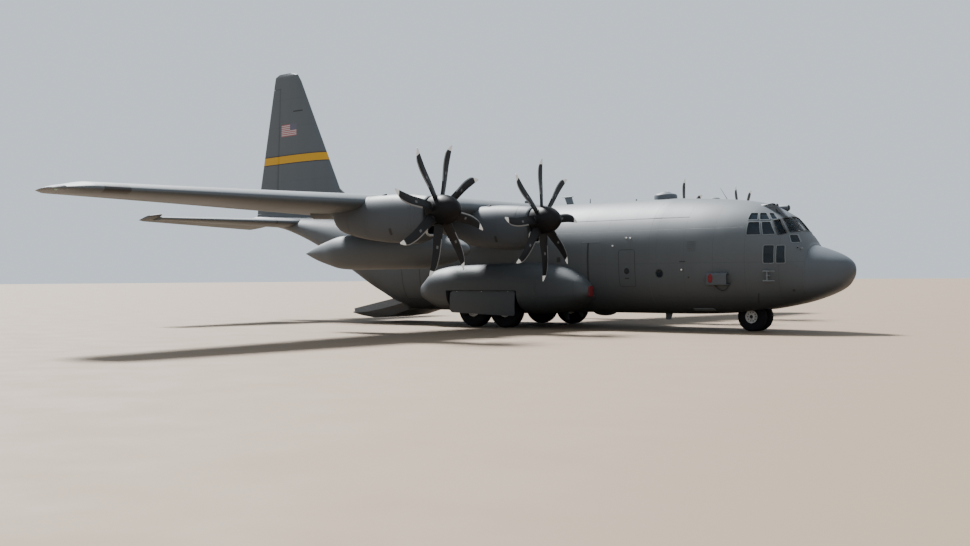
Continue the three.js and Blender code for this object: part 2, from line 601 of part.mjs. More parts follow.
const DECK_FLOOR_TOP = 2.05;
const deckFloor = floorFrom(DECK_STATIONS, 7.9, 10.9, DECK_FLOOR_TOP, 0.1);
const bulkhead = floorFrom(DECK_STATIONS, 7.9, 8.0, 4.6, 4.6 - DECK_FLOOR_TOP + 0.05)
  .subtract(box([7, 9], [-0.4, 0.4], [DECK_FLOOR_TOP, 3.9]));
const console = box([10.55, 10.8], [-1.0, 1.0], [DECK_FLOOR_TOP - 0.05, 3.05])
  .add(box([9.9, 10.6], [-0.2, 0.2], [DECK_FLOOR_TOP - 0.05, 2.7]));
const seat = (x, y) => join([
  box([x - 0.2, x + 0.2], [y - 0.15, y + 0.15], [DECK_FLOOR_TOP - 0.05, 2.45]),
  box([x - 0.27, x + 0.27], [y - 0.25, y + 0.25], [2.42, 2.58]),
  box([x - 0.34, x - 0.24], [y - 0.25, y + 0.25], [2.42, 3.3]),
]);
const seats = [seat(9.9, 0.62), seat(9.9, -0.62), seat(8.9, 0)];
addPart('flight_deck', join([deckFloor, bulkhead, console, ...seats]), 'floor');

// Glazing: a band of glass just inside the nose wall, behind the window cuts.
const GLASS_THICKNESS = 0.03;
const glassOuter = bodySolid(stretched(DECK_STATIONS, -0.1, 0), -WALL - SEAT_GAP);
const glassInner = bodySolid(stretched(DECK_STATIONS, -0.1 + 0.05, 0), -WALL - SEAT_GAP - GLASS_THICKNESS);
const glassBand = glassOuter.subtract(glassInner)
  .intersect(box([10.08, 12], [-2, 2], [2.2, 4.05]));
addPart('cockpit_glazing', glassBand, 'glass');

// Fin and rudder.
const hingeXAt = (z) => mix(RUDDER_AXIS[0][0], RUDDER_AXIS[1][0],
  (z - RUDDER_AXIS[0][1]) / (RUDDER_AXIS[1][1] - RUDDER_AXIS[0][1]));
const rudderHingePart = ([z, front, rear]) => (front - hingeXAt(z)) / (front - rear);
const finBoxPart = (row) => rudderHingePart(row) - RUN_GAP / (row[1] - row[2])
  - NOSE_FILL * halfThickness(rudderHingePart(row), row[3]);
const finPart = (z0, z1, to) => loftSolid(spanRows(FIN_SECTIONS, z0, z1).map((row) => {
  const [z, front, rear, ratio] = row;
  return sectionPoints(to(row), front - rear, ratio, 0).map(([back, side]) => [front - back, side, z]);
}));
const finBox = finPart(FIN_FOOT_Z, RUDDER_TOP_Z + RUN_GAP, finBoxPart);
const finTop = finPart(RUDDER_TOP_Z + RUN_GAP, FIN_TOP_Z, () => 1);
const finFoot = finPart(FIN_FOOT_Z, RUDDER_BOTTOM_Z - RUN_GAP, () => 1);
const filletOutline = [[-9.4, 5.25], [-10.62, 6.1], [-12, 6.2], [-12, 4.6], [-7.2, 4.6]];
const fillet = plateXZ(filletOutline, -0.12, 0.12);
const uprightRow = ([z, front, rear, ratio]) => [z, front, 0, front - rear, 0, ratio];
const upright = (ring) => ring.map(([x, z, side]) => [x, side, z]);
const finBrackets = brackets(RUDDER_HINGES, (z) => interpolate(FIN_SECTIONS, z),
  (row) => upright(bracketRing(uprightRow(row), rudderHingePart(row), 0)));
// The space between the fin's spars, open at its foot: z, half width.
const finBay = loftSolid([[4.5, 0.22], [10.2, 0.03]].map(([z, half]) => {
  const [, front, rear] = interpolate(FIN_SECTIONS, z);
  const [x0, x1] = [mix(front, rear, 0.15), mix(front, rear, 0.6)];
  return [[x0, -half, z], [x0, half, z], [x1, half, z], [x1, -half, z]];
}));
addPart('fin', join([finBox, finTop, finFoot, fillet, ...finBrackets])
  .subtract(finBay).subtract(bodyGrown).subtract(tailplaneCutter), 'paint');
const rudderRing = (row) => upright(hingedRing(uprightRow(row), rudderHingePart(row), 0));
addPart('rudder', loftSolid(spanRows(FIN_SECTIONS, RUDDER_BOTTOM_Z, RUDDER_TOP_Z, RUDDER_HINGES)
  .map(rudderRing)), 'paint');

// Engines, nacelles and propellers.
function nacelleRing([x, top, bottom, half], y, z) {
  const middle = (top + bottom) / 2;
  return Array.from({ length: 16 }, (_, i) => {
    const angle = 2 * Math.PI * i / 16;
    const [c, s] = [Math.cos(angle), Math.sin(angle)];
    const squareness = 0.85;
    return [
      x,
      y + half * Math.sign(c) * Math.abs(c) ** squareness,
      z + middle + (top - middle) * Math.sign(s) * Math.abs(s) ** squareness,
    ];
  });
}

const engineBar = (y, z, grow) => bar([ENGINE_BLOCK.rear - grow, y, z - ENGINE_BLOCK.drop],
  [ENGINE_BLOCK.front + grow, y, z - ENGINE_BLOCK.drop], ENGINE_BLOCK.radius + grow, 12);

// A nacelle with its chin intake, which leads back to the front of the engine.
function nacelle(y, z) {
  const outer = loftSolid(NACELLE_STATIONS.map((station) => nacelleRing(station, y, z)));
  const intake = plateYZ([[y - 0.3, z - 0.44], [y - 0.24, z - 0.72], [y + 0.24, z - 0.72],
    [y + 0.3, z - 0.44]].reverse(), ENGINE_BLOCK.front, 4.3);
  const bearing = bar([3.7, y, z], [4.3, y, z], PROPELLER_SHAFT_RADIUS + SEAT_GAP);
  const exhaust = box([EXHAUST.rear, EXHAUST.rear + EXHAUST.depth], [y - EXHAUST.half, y + EXHAUST.half],
    [z + EXHAUST.low, z + EXHAUST.high]);
  const solid = outer.subtract(engineBar(y, z, SEAT_GAP)).subtract(intake).subtract(bearing);
  return solid.subtract(exhaust).subtract(wingCutter);
}

// Blade stations: part of the radius, chord, thickness, pitch in degrees from the disc, sweep.
const BLADE_STATIONS = [
  [0.18, 0.34, 0.110, 24, 0.00],
  [0.38, 0.32, 0.065, 17, 0.005],
  [0.66, 0.30, 0.040, 7, 0.033],
  [0.84, 0.26, 0.025, 2, 0.00],
  [0.94, 0.15, 0.016, 1, -0.07],
  [1.00, 0.05, 0.010, 0, -0.13],
];
function blade(angle) {
  const rings = BLADE_STATIONS.map(([part, chord, thick, pitch, sweep]) => {
    const outline = [[0.5, 0], [0.2, 0.5], [-0.2, 0.42], [-0.5, 0], [-0.2, -0.42], [0.2, -0.5]];
    const [c, s] = [Math.cos(degrees(pitch)), Math.sin(degrees(pitch))];
    return outline.map(([u, v]) => {
      const [along, across] = [u * chord + sweep, v * thick];
      return [along * s + across * c, across * s - along * c, part * PROPELLER_RADIUS];
    });
  });
  return loftSolid(rings).rotate([-angle, 0, 0]);
}

// The spinner: x ahead of the disc, radius.
const SPINNER_PROFILE = [[-0.26, 0], [-0.26, 0.44], [-0.15, 0.47], [0.20, 0.45], [0.42, 0.38],
  [0.60, 0.25], [0.70, 0.12], [0.74, 0]];
function propeller(y, z, phase) {
  const pieces = [turnedX(SPINNER_PROFILE, 16, [0, 0, 0])];
  for (let i = 0; i < BLADES; i += 1) {
    pieces.push(blade(phase + 360 * i / BLADES));
  }
  pieces.push(bar([-0.7, 0, 0], [0, 0, 0], PROPELLER_SHAFT_RADIUS));
  return join(pieces).translate([PROPELLER_X, y, z]);
}

for (const [name, y, z, phase] of ENGINES) {
  addPart(`nacelle_${name}`, nacelle(y, z), 'paint');
  addPart(`engine_${name}`, engineBar(y, z, 0), 'steel');
  addPart(`propeller_${name}`, propeller(y, z, phase), 'black');
}

// Under-wing tanks with their pylons.
const tank = turnedX([...TANK_PROFILE].reverse(), 20, [0, TANK_Y, TANK_Z]);
const pylon = plateXZ([[1.75, 3.2], [1.3, 4.15], [-1.1, 4.15], [-1.9, 3.2]], TANK_Y - 0.12, TANK_Y + 0.12);
for (const [name, side] of SIDES) {
  addPart(`tank_${name}`, onSide(tank.add(pylon).subtract(wingCutter), side), 'paint');
}

// Sponsons with the main wheel wells.
function sponsonRing([x, under, top, outer]) {
  const [middleZ, middleY] = [(under + top) / 2, SPONSON_INNER_Y];
  return Array.from({ length: 13 }, (_, i) => {
    const angle = -Math.PI / 2 + Math.PI * i / 12;
    const [c, s] = [Math.cos(angle), Math.sin(angle)];
    const power = 0.72;
    return [
      x,
      middleY + (outer - middleY) * Math.abs(c) ** power,
      middleZ + (top - under) / 2 * Math.sign(s) * Math.abs(s) ** power,
    ];
  });
}
const well = box([WHEEL_WELL.rear, WHEEL_WELL.front], [WHEEL_WELL.inner, 3.2], [0, WHEEL_WELL.roof])
  .add(box([WHEEL_WELL.rear, WHEEL_WELL.front], [WHEEL_WELL.inner, 2.70], [0, WHEEL_WELL.roof + 0.25]));
const sponson = loftSolid(SPONSON_STATIONS.map(sponsonRing)).subtract(bodyGrown).subtract(well);
const gearDoor = plateXZ([[-1.43, 0.46], [1.69, 0.46], [1.69, 1.38], [-1.43, 1.38]], 2.86, 2.91)
  .add(plateXZ([[-1.2, 1.3], [-1.1, 1.3], [-1.1, 1.399], [-1.2, 1.399]], 2.84, 2.90))
  .add(plateXZ([[1.3, 1.3], [1.4, 1.3], [1.4, 1.399], [1.3, 1.399]], 2.84, 2.90));
for (const [name, side] of SIDES) {
  addPart(`sponson_${name}`, onSide(sponson, side), 'paint');
  addPart(`gear_door_${name}`, onSide(gearDoor, side), 'paint');
}

const WHEEL_SIDES = 20;
// Wheels: tyre, then a rim with a blind bore that opens towards the leg.
function tyre({ radius, width, rim }, sides, place) {
  const half = width / 2;
  const outline = [
    [rim + 0.005, 0.62], [mix(rim, radius, 0.2), 0.88], [mix(rim, radius, 0.6), 1],
    [mix(rim, radius, 0.9), 0.8], [radius, 0.3],
  ];
  const upper = outline.map(([r, part]) => [r, part * half]);
  const lower = outline.map(([r, part]) => [r, -part * half]).reverse();
  return turnedY([...upper, ...lower, upper[0]].reverse(), sides, place);
}
function rimWithBore({ width, rim }, bore, sides, place) {
  const half = width / 2 * 0.62;
  const outer = rim + 0.005 - SEAT_GAP;
  return turnedY([
    [0, half], [rim * 0.35, half], [rim * 0.5, half * 0.5], [rim * 0.85, half * 0.6], [outer, half],
    [outer, -half], [bore, -half], [bore, half * 0.55], [0, half * 0.55],
  ].reverse(), sides, place);
}

const MAIN_AXLE_RADIUS = 0.075;
// The flats of the bore clear the corners of the axle as the wheel turns.
const MAIN_BORE_RADIUS = (MAIN_AXLE_RADIUS + SEAT_GAP) / Math.cos(Math.PI / WHEEL_SIDES);
for (const [name, side] of SIDES) {
  const struts = [-1, 1].map((end) => {
    const x = end * MAIN_WHEELBASE_HALF;
    return join([
      bar([x, MAIN_STRUT_Y, MAIN_WHEEL.radius - 0.12], [x, MAIN_STRUT_Y, 2.2], 0.1),
      bar([x, MAIN_STRUT_Y, MAIN_WHEEL.radius], [x, MAIN_TRACK_HALF + 0.07, MAIN_WHEEL.radius],
        MAIN_AXLE_RADIUS, WHEEL_SIDES),
    ]);
  });
  const beam = bar([-MAIN_WHEELBASE_HALF, MAIN_STRUT_Y, 1.05],
    [MAIN_WHEELBASE_HALF, MAIN_STRUT_Y, 1.05], 0.06);
  addPart(`main_leg_${name}`, onSide(join([...struts, beam]).subtract(bodyGrown)
    .intersect(box([-2, 2], [0, 3], [0, WHEEL_WELL.roof + 0.24])), side), 'steel');
  for (const [end, sign] of [['front', 1], ['rear', -1]]) {
    const place = [sign * MAIN_WHEELBASE_HALF, MAIN_TRACK_HALF, MAIN_WHEEL.radius];
    addPart(`main_rim_${end}_${name}`,
      onSide(rimWithBore(MAIN_WHEEL, MAIN_BORE_RADIUS, WHEEL_SIDES, place), side), 'rim');
    addPart(`main_tyre_${end}_${name}`, onSide(tyre(MAIN_WHEEL, WHEEL_SIDES, place), side), 'rubber');
  }
}

// Nose gear: leg, steered fork, twin wheels on one axle.
const NOSE_AXLE_RADIUS = 0.05;
const NOSE_LEG_BOTTOM_Z = 1.03;
const noseAxleZ = NOSE_WHEEL.radius;
addPart('nose_leg', join([
  bar([NOSE_GEAR_X, 0, NOSE_LEG_BOTTOM_Z], [NOSE_GEAR_X, 0, NOSE_WELL.roof - SEAT_GAP], 0.1),
  bar([NOSE_GEAR_X, 0, 1.1], [NOSE_WELL.rear + 0.1, 0, NOSE_WELL.roof - 0.05], 0.05),
]), 'steel');
const noseAxle = bar([NOSE_GEAR_X, -0.3, noseAxleZ], [NOSE_GEAR_X, 0.3, noseAxleZ],
  NOSE_AXLE_RADIUS + SEAT_GAP);
const forkBar = bar([NOSE_GEAR_X, 0, noseAxleZ - 0.09], [NOSE_GEAR_X, 0, NOSE_LEG_BOTTOM_Z - SEAT_GAP], 0.06);
addPart('nose_fork', forkBar.subtract(noseAxle), 'steel');
const noseRim = turnedY([[0, -0.09], [0.2194, -0.09], [0.2194, 0.09], [0.16, 0.05], [0.07, 0.09], [0, 0.09]],
  WHEEL_SIDES, [NOSE_GEAR_X, NOSE_WHEEL_Y, noseAxleZ]);
addPart('nose_wheels', join([noseRim, mirrorY(noseRim),
  bar([NOSE_GEAR_X, -0.2, noseAxleZ], [NOSE_GEAR_X, 0.2, noseAxleZ], NOSE_AXLE_RADIUS)]), 'rim');
for (const [name, side] of SIDES) {
  addPart(`nose_tyre_${name}`,
    onSide(tyre(NOSE_WHEEL, WHEEL_SIDES, [NOSE_GEAR_X, NOSE_WHEEL_Y, noseAxleZ]), side), 'rubber');
}

// Cargo ramp, hinged at the rear edge of the floor, and the door over it, hinged at its own rear.
const RAMP_KNUCKLE = { x: -5.10, z: 0.99, radius: 0.04 };
const RAMP_HALF = 1.55;
const RAMP_BELLY_HALF = 1.15;
const RAMP_DROOP = 10.8;
// Ramp stations, drawn level: distance behind the hinge, depth below the floor.
const RAMP_STATIONS = [[0, 0.09], [0.15, 0.43], [1.2, 0.50], [2.2, 0.42], [2.9, 0.20], [3.05, 0.12]];
const RAMP_RAIL = { from: 0.3, to: 2.95, thickness: 0.08, rise: 0.13 };
const levelRamp = join([
  loftSolid(RAMP_STATIONS.map(([back, depth]) => [
    [RAMP_HALF, 0], [RAMP_HALF, 0.35 * depth], [RAMP_BELLY_HALF, depth],
    [-RAMP_BELLY_HALF, depth], [-RAMP_HALF, 0.35 * depth], [-RAMP_HALF, 0],
  ].map(([y, down]) => [RAMP_KNUCKLE.x - back, y, FLOOR_TOP - down]))),
  ...[RAMP_HALF - RAMP_RAIL.thickness, -RAMP_HALF].map((y) => box(
    [RAMP_KNUCKLE.x - RAMP_RAIL.to, RAMP_KNUCKLE.x - RAMP_RAIL.from],
    [y, y + RAMP_RAIL.thickness], [FLOOR_TOP - 0.02, FLOOR_TOP + RAMP_RAIL.rise])),
  bar([RAMP_KNUCKLE.x, -RAMP_HALF, RAMP_KNUCKLE.z], [RAMP_KNUCKLE.x, RAMP_HALF, RAMP_KNUCKLE.z],
    RAMP_KNUCKLE.radius),
]);
addPart('cargo_ramp', levelRamp.translate([-RAMP_KNUCKLE.x, 0, -RAMP_KNUCKLE.z])
  .rotate([0, -RAMP_DROOP, 0])
  .translate([RAMP_KNUCKLE.x, 0, RAMP_KNUCKLE.z]), 'paint');
const doorPlan = [[-7.95, 1.50], [-12.40, 0.84], [-12.40, -0.84], [-7.95, -1.50]];
addPart('cargo_door', join([
  plateXY(doorPlan, DOOR_KNUCKLE.z - DOOR_KNUCKLE.radius, DOOR_KNUCKLE.z + DOOR_KNUCKLE.radius),
  bar([DOOR_KNUCKLE.x, -0.84, DOOR_KNUCKLE.z], [DOOR_KNUCKLE.x, 0.84, DOOR_KNUCKLE.z], DOOR_KNUCKLE.radius),
]), 'paint');

const plane = new THREE.Group();
plane.scale.setScalar(MODEL_MM_PER_METRE);
plane.position.x = -LENGTH_CENTRE_X * MODEL_MM_PER_METRE;
for (const [name, solid, finish] of parts) {
  const mesh = new THREE.Mesh(geometryOf(solid), new THREE.MeshStandardMaterial(finishes[finish]));
  mesh.name = name;
  plane.add(mesh);
}

export default plane;
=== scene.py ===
"""The looks of a half-size military transport plane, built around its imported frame.

Shapes are worked out in metres of the full-size aeroplane, X forward from the middle of the main
wheels, Y to port, Z up from the ground, and put into the model's frame when a mesh is made.
"""

import math

import bmesh
import bpy
import numpy as np
from mathutils import Matrix


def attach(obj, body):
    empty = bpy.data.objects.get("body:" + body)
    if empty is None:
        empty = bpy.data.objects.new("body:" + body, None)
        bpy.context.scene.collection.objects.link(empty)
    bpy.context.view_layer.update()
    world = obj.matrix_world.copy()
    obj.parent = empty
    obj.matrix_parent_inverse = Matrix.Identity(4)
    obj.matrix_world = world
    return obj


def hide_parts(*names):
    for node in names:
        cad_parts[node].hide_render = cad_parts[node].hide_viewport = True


bl_info = {
    "name": "Transport plane",
    "version": (1, 0, 0),
    "blender": (4, 5, 0),
    "location": "View3D > Sidebar > Plane",
    "description": "Builds the skins, windows, engines, gear and finishes of a transport plane",
    "category": "Object",
}

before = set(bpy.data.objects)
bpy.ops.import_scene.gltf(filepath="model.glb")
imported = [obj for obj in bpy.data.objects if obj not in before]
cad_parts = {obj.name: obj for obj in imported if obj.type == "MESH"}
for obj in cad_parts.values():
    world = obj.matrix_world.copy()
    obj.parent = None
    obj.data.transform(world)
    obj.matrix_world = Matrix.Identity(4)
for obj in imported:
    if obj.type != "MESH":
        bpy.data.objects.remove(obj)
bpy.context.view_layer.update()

MODEL_SCALE = 0.5
CENTRE_X = -1.665
SIDES = (("left", 1), ("right", -1))
WALL = 0.12
CROWN_POWER = 2.1
BELLY_POWER = 3.0

# Fuselage stations: x, underside z, crown z, half width.
RADOME_TABLE = np.array([
    [13.23, 2.00, 2.12, 0.06], [13.14, 1.80, 2.30, 0.28], [12.90, 1.50, 2.50, 0.55],
    [12.40, 1.24, 2.72, 0.85], [11.95, 1.08, 2.87, 1.06],
])
BODY_TABLE = np.array([
    [11.95, 1.08, 2.87, 1.06], [11.60, 0.98, 3.34, 1.24], [11.20, 0.89, 3.82, 1.40],
    [10.90, 0.83, 4.02, 1.51], [10.20, 0.72, 4.33, 1.75], [9.40, 0.63, 4.47, 1.95],
    [8.50, 0.58, 4.56, 2.07], [7.50, 0.56, 4.62, 2.12], [6.85, 0.56, 4.655, 2.135],
    [-5.06, 0.56, 4.66, 2.14], [-6.50, 1.12, 4.66, 2.12], [-8.00, 1.92, 4.67, 2.02],
    [-10.00, 2.98, 4.70, 1.76], [-12.00, 3.76, 4.74, 1.38], [-13.50, 4.18, 4.79, 1.06],
    [-15.00, 4.42, 4.86, 0.70], [-16.20, 4.56, 4.92, 0.40], [-16.56, 4.68, 4.84, 0.14],
])
NOSE_END = 6.85
CENTRE_END = -5.06
FLOOR_UNDER = 0.93
DOOR_LINE = -12.46

# Wing sections: y, leading edge x and z, chord, incidence in degrees, thickness ratio.
WING_TABLE = np.array([
    [0, 1.90, 4.30, 4.88, 3.0, 0.170], [5.59, 1.90, 4.30, 4.88, 3.0, 0.170],
    [12.75, 1.56, 4.23, 3.72, 1.5, 0.145], [19.60, 1.22, 4.19, 2.60, 0.0, 0.120],
    [20.10, 0.72, 4.20, 1.55, 0.0, 0.080], [20.205, 0.25, 4.21, 0.75, 0.0, 0.040],
])
WING_CAMBER = 0.02
FLAP_START = 0.69
AILERON_START = 0.75
WING_JOINT_Y = 5.59
FLAP_ROOT_Y = 2.22
FLAP_TIP_Y = 12.72
AILERON_TIP_Y = 19.55
TAILPLANE_TABLE = np.array([
    [0, -11.62, 4.46, 3.70, 0, 0.12], [7.70, -13.20, 4.46, 1.22, 0, 0.11],
    [8.025, -13.45, 4.46, 0.82, 0, 0.08],
])
ELEVATOR_HINGE = (-13.92, 4.46)
ELEVATOR_DROOP = 11.5
# Fin sections: z, leading edge x, trailing edge x, thickness ratio.
FIN_TABLE = np.array([
    [4.40, -9.75, -16.40, 0.12], [11.20, -13.07, -14.95, 0.11],
    [11.54, -13.30, -14.87, 0.09], [11.66, -13.75, -14.60, 0.05],
])
RUDDER_AXIS = ((-14.72, 5.05), (-14.50, 10.95))
RUN_GAP = 0.012
NOSE_FILL = 0.94

# Engines: name, y, propeller axis z, blade phase in degrees from straight up towards port.
ENGINES = (
    ("outer_left", 10.14, 3.90, 24.0), ("inner_left", 4.95, 3.80, -3.7),
    ("inner_right", -4.95, 3.80, -3.7), ("outer_right", -10.14, 3.90, 11.2),
)
PROPELLER_X = 4.43
PROPELLER_RADIUS = 2.057
BLADES = 8
# Nacelle stations: x, top and bottom measured from the propeller axis, half width.
NACELLE_TABLE = np.array([
    [4.10, 0.44, -0.72, 0.45], [3.90, 0.48, -0.88, 0.49], [3.40, 0.53, -0.98, 0.55],
    [2.60, 0.57, -0.94, 0.58], [1.60, 0.56, -0.83, 0.56], [0.75, 0.50, -0.66, 0.50],
    [0.28, 0.46, -0.50, 0.42], [0.04, 0.44, -0.12, 0.34], [-1.06, 0.30, -0.06, 0.24],
])
# Blade stations: part of the radius, chord, thickness, pitch in degrees, sweep.
BLADE_TABLE = np.array([
    [0.18, 0.34, 0.110, 24, 0.000], [0.38, 0.32, 0.065, 17, 0.005], [0.66, 0.30, 0.040, 7, 0.033],
    [0.84, 0.26, 0.025, 2, 0.000], [0.94, 0.15, 0.016, 1, -0.07], [1.00, 0.05, 0.010, 0, -0.13],
])
SPINNER_TABLE = np.array([
    [-0.15, 0.47], [0.20, 0.45], [0.42, 0.38], [0.60, 0.25], [0.70, 0.12], [0.74, 0.0],
])

# Sponson stations: x, underside z, top z, outer face y.
SPONSON_TABLE = np.array([
    [4.50, 1.15, 1.62, 2.36], [4.20, 0.93, 1.95, 2.62], [3.35, 0.66, 2.32, 2.86],
    [1.90, 0.52, 2.46, 2.95], [-1.60, 0.52, 2.42, 2.95], [-2.60, 0.66, 2.28, 2.86],
    [-3.22, 0.95, 1.80, 2.62],
])
TANK_Y = 7.5
TANK_Z = 2.80
TANK_PROFILE = ((3.37, 0), (3.20, 0.18), (2.80, 0.36), (2.10, 0.52), (1.20, 0.61),
                (-1.80, 0.62), (-2.50, 0.585), (-3.20, 0.43), (-3.83, 0.25), (-4.50, 0))
MAIN_WHEEL = {"radius": 0.71, "width": 0.51, "rim": 0.31, "y": 2.17, "x": 0.76}
NOSE_WHEEL = {"radius": 0.495, "width": 0.33, "rim": 0.215, "y": 0.24, "x": 9.77}

# Flight deck windows: outlines in x and z on both sides, then in y and z in front.
SIDE_WINDOWS = {
    "upper_rear": [[10.16, 3.72], [10.44, 3.72], [10.37, 3.95], [10.17, 3.95]],
    "upper_middle": [[10.51, 3.72], [10.77, 3.72], [10.58, 3.95], [10.42, 3.95]],
    "upper_front": [[10.83, 3.73], [10.96, 3.74], [10.76, 3.94], [10.65, 3.95]],
    "middle_rear": [[10.22, 3.22], [10.63, 3.22], [10.51, 3.64], [10.20, 3.64]],
    "middle_front": [[10.71, 3.22], [11.05, 3.23], [10.81, 3.64], [10.58, 3.64]],
    "quarter": [[11.14, 3.21], [11.34, 3.26], [11.03, 3.73], [10.87, 3.68]],
    "small": [[11.52, 2.95], [11.71, 2.96], [11.57, 3.20], [11.42, 3.19]],
    "lower_rear": [[10.77, 2.29], [11.08, 2.29], [11.07, 2.86], [10.77, 2.86]],
    "lower_front": [[11.15, 2.29], [11.41, 2.29], [11.37, 2.85], [11.15, 2.85]],
}
FRONT_WINDOWS = {
    "centre": [[-0.35, 3.36], [0.35, 3.36], [0.25, 3.82], [-0.25, 3.82]],
    "screen": [[0.42, 3.34], [0.89, 3.30], [0.71, 3.75], [0.33, 3.80]],
}
ROUND_WINDOW = (7.25, 1.98, 0.13)
CORNER = 0.028

CAMERA_PLACE = (26.185, -35.103, 1.836)
CAMERA_YAW = 38.81
CAMERA_PITCH = 0.30
CAMERA_ROLL = -0.37
FOCAL_PIXELS = 1105.1
PHOTO_WIDTH = 970
SENSOR_WIDTH = 36.0
# Lights: the direction they come from, spread in degrees and strength.
KEY_LIGHT = ((-0.59, 0.18, 0.79), 12.0, 18.0)
FILL_LIGHT = ((0.57, -0.65, 0.50), 60.0, 0.3)
SKY_STRENGTH = 0.95
FLOOR_HALF = 400.0

# Doors in the skins: edges in x and z.
CREW_DOOR = (8.55, 9.31, 1.04, 2.18)
SIDE_DOOR = (-4.67, -3.74, 1.06, 2.89)
SIDE_DOOR_GAP = 0.004
NOSE_WELL = ((9.12, 10.42), (-0.62, 0.62), (0, 1.42))
NOSE_WELL_WALLS = ((9.0, 10.54), (-0.74, 0.74), (0, 1.54))
STRAIGHT_BODY = BODY_TABLE[8:10]
# The opening over the ramp, in x and y from above and in x and z from the side.
RAMP_PLAN = ((-4.9, -1.57), (-8.25, -1.57), (DOOR_LINE, -0.95), (DOOR_LINE, 0.95), (-8.25, 1.57),
             (-4.9, 1.57))
RAMP_PROFILE = ((-4.9, 0.1), (-4.9, 2.2), (-9.0, 3.4), (-12.0, 4.1), (DOOR_LINE, 4.1),
                (DOOR_LINE, 0.1))
# A corner counts as on the skin under this level, and as facing out over this cosine.
SKIN_LEVEL, SKIN_FACING = 0.012, 0.75
# How deep thin pieces on a skin go into it.
SINK = 0.02
# Marks on the fin: spans in x and z.
BAND_X, BAND_Z, BAND_EDGE_Z = (-15.8, -11.2), (7.37, 7.72), (7.33, 7.76)
FLAG_X, FLAG_Z, FLAG_STRIPE_PAIRS = (-14.33, -13.20), (8.64, 9.21), 6.5
CANTON_X, CANTON_Z = -13.68, 8.92
FIN_SLOT_X, FIN_SLOT_Z = (-13.46, -12.82), 9.79


def to_model(points):
    """Full-size metres to the model's frame: shifted along X so that the aeroplane is centred, then
    multiplied by the scale."""
    return (np.asarray(points, float) - (CENTRE_X, 0, 0)) * MODEL_SCALE


# ---- surfaces


def around(count):
    """Even angles round a circle."""
    return np.linspace(0, 2 * np.pi, count, endpoint=False)


def powered(value, power):
    """A value's size raised to a power, with its own sign."""
    return np.sign(value) * np.abs(value) ** power


def joined(x, y, z):
    """Points from their x, y and z, each spread over the shape of the others."""
    return np.stack(np.broadcast_arrays(x, y, z), -1)


def smooth_rows(table, at):
    """Values at new keys on a smooth curve through a table that never overshoots: cubic pieces
    whose slope at a row is the harmonic mean of the slopes beside it, or level at a turn."""
    rows = table[np.argsort(table[:, 0])]
    keys, values = rows[:, 0], rows[:, 1:]
    step = np.diff(keys)[:, None]
    slope = np.diff(values, axis=0) / step
    product = slope[:-1] * slope[1:]
    total = slope[:-1] + slope[1:]
    inner = np.where(product > 0, 2 * product / np.where(product > 0, total, 1), 0)
    tangent = np.vstack([slope[:1], inner, slope[-1:]])
    at = np.clip(np.asarray(at, float), keys[0], keys[-1])
    low = np.clip(np.searchsorted(keys, at, side="right") - 1, 0, len(keys) - 2)
    width = step[low, 0]
    t = ((at - keys[low]) / width)[..., None]
    width = width[..., None]
    start, end = 2 * t**3 - 3 * t**2 + 1, 3 * t**2 - 2 * t**3
    lead, trail = t**3 - 2 * t**2 + t, t**3 - t**2
    return (start * values[low] + end * values[low + 1]
            + width * (lead * tangent[low] + trail * tangent[low + 1]))


def straight_rows(table, at):
    """The columns of a table at new keys, on straight lines between its rows."""
    rows = table[np.argsort(table[:, 0])]
    return np.stack([np.interp(at, rows[:, 0], rows[:, k]) for k in range(1, rows.shape[1])], -1)


def columns(table, at, rows=smooth_rows):
    """The columns of a table at new keys, as separate arrays."""
    return np.moveaxis(rows(table, at), -1, 0)


def body_measures(x, z):
    """Height over the fuselage's middle, half height, half width, and the power of its curve."""
    under, crown, half = columns(BODY_TABLE, x)
    up = z - (under + crown) / 2
    return up, (crown - under) / 2, half, np.where(up > 0, CROWN_POWER, BELLY_POWER)


def body_level(points):
    """How far a point is outside the fuselage: the sum of the powers of its distances across and up
    from the middle, each over the half size there, less one."""
    points = np.asarray(points, float)
    up, tall, half, power = body_measures(points[..., 0], points[..., 2])
    return (np.abs(points[..., 1]) / half) ** power + (np.abs(up) / tall) ** power - 1


def body_normal(points):
    """The outward direction of the fuselage at points: the slope of body_level along each axis,
    from its values a little ahead and behind, made unit long."""
    slope = np.stack([body_level(points + move) - body_level(points - move)
                      for move in 0.004 * np.eye(3)], -1)
    return slope / np.linalg.norm(slope, axis=-1, keepdims=True)


def side_point(x, z, side, out=0.0):
    """The point of the fuselage's side at x and z, moved out along its normal."""
    x, z = np.broadcast_arrays(np.asarray(x, float), np.asarray(z, float))
    up, tall, half, power = body_measures(x, z)
    part = np.clip(np.abs(up) / tall, 0, 1)
    points = np.stack([x, side * half * (1 - part**power) ** (1 / power), z], -1)
    return points + np.asarray(out)[..., None] * body_normal(points)


def front_point(y, z, out=0.0):
    """The point of the nose at y and z, found by halving a span of x 40 times, moved out."""
    y, z = np.broadcast_arrays(np.asarray(y, float), np.asarray(z, float))
    low, high = np.full(y.shape, 9.5), np.full(y.shape, 12.5)
    for _ in range(40):
        middle = (low + high) / 2
        outside = body_level(np.stack([middle, y, z], -1)) > 0
        low, high = np.where(outside, low, middle), np.where(outside, middle, high)
    points = np.stack([low, y, z], -1)
    return points + np.asarray(out)[..., None] * body_normal(points)


def on_side(side):
    """The surface of one side of the fuselage, as a function of x, z and a height."""
    return lambda x, z, out: side_point(x, z, side, out)


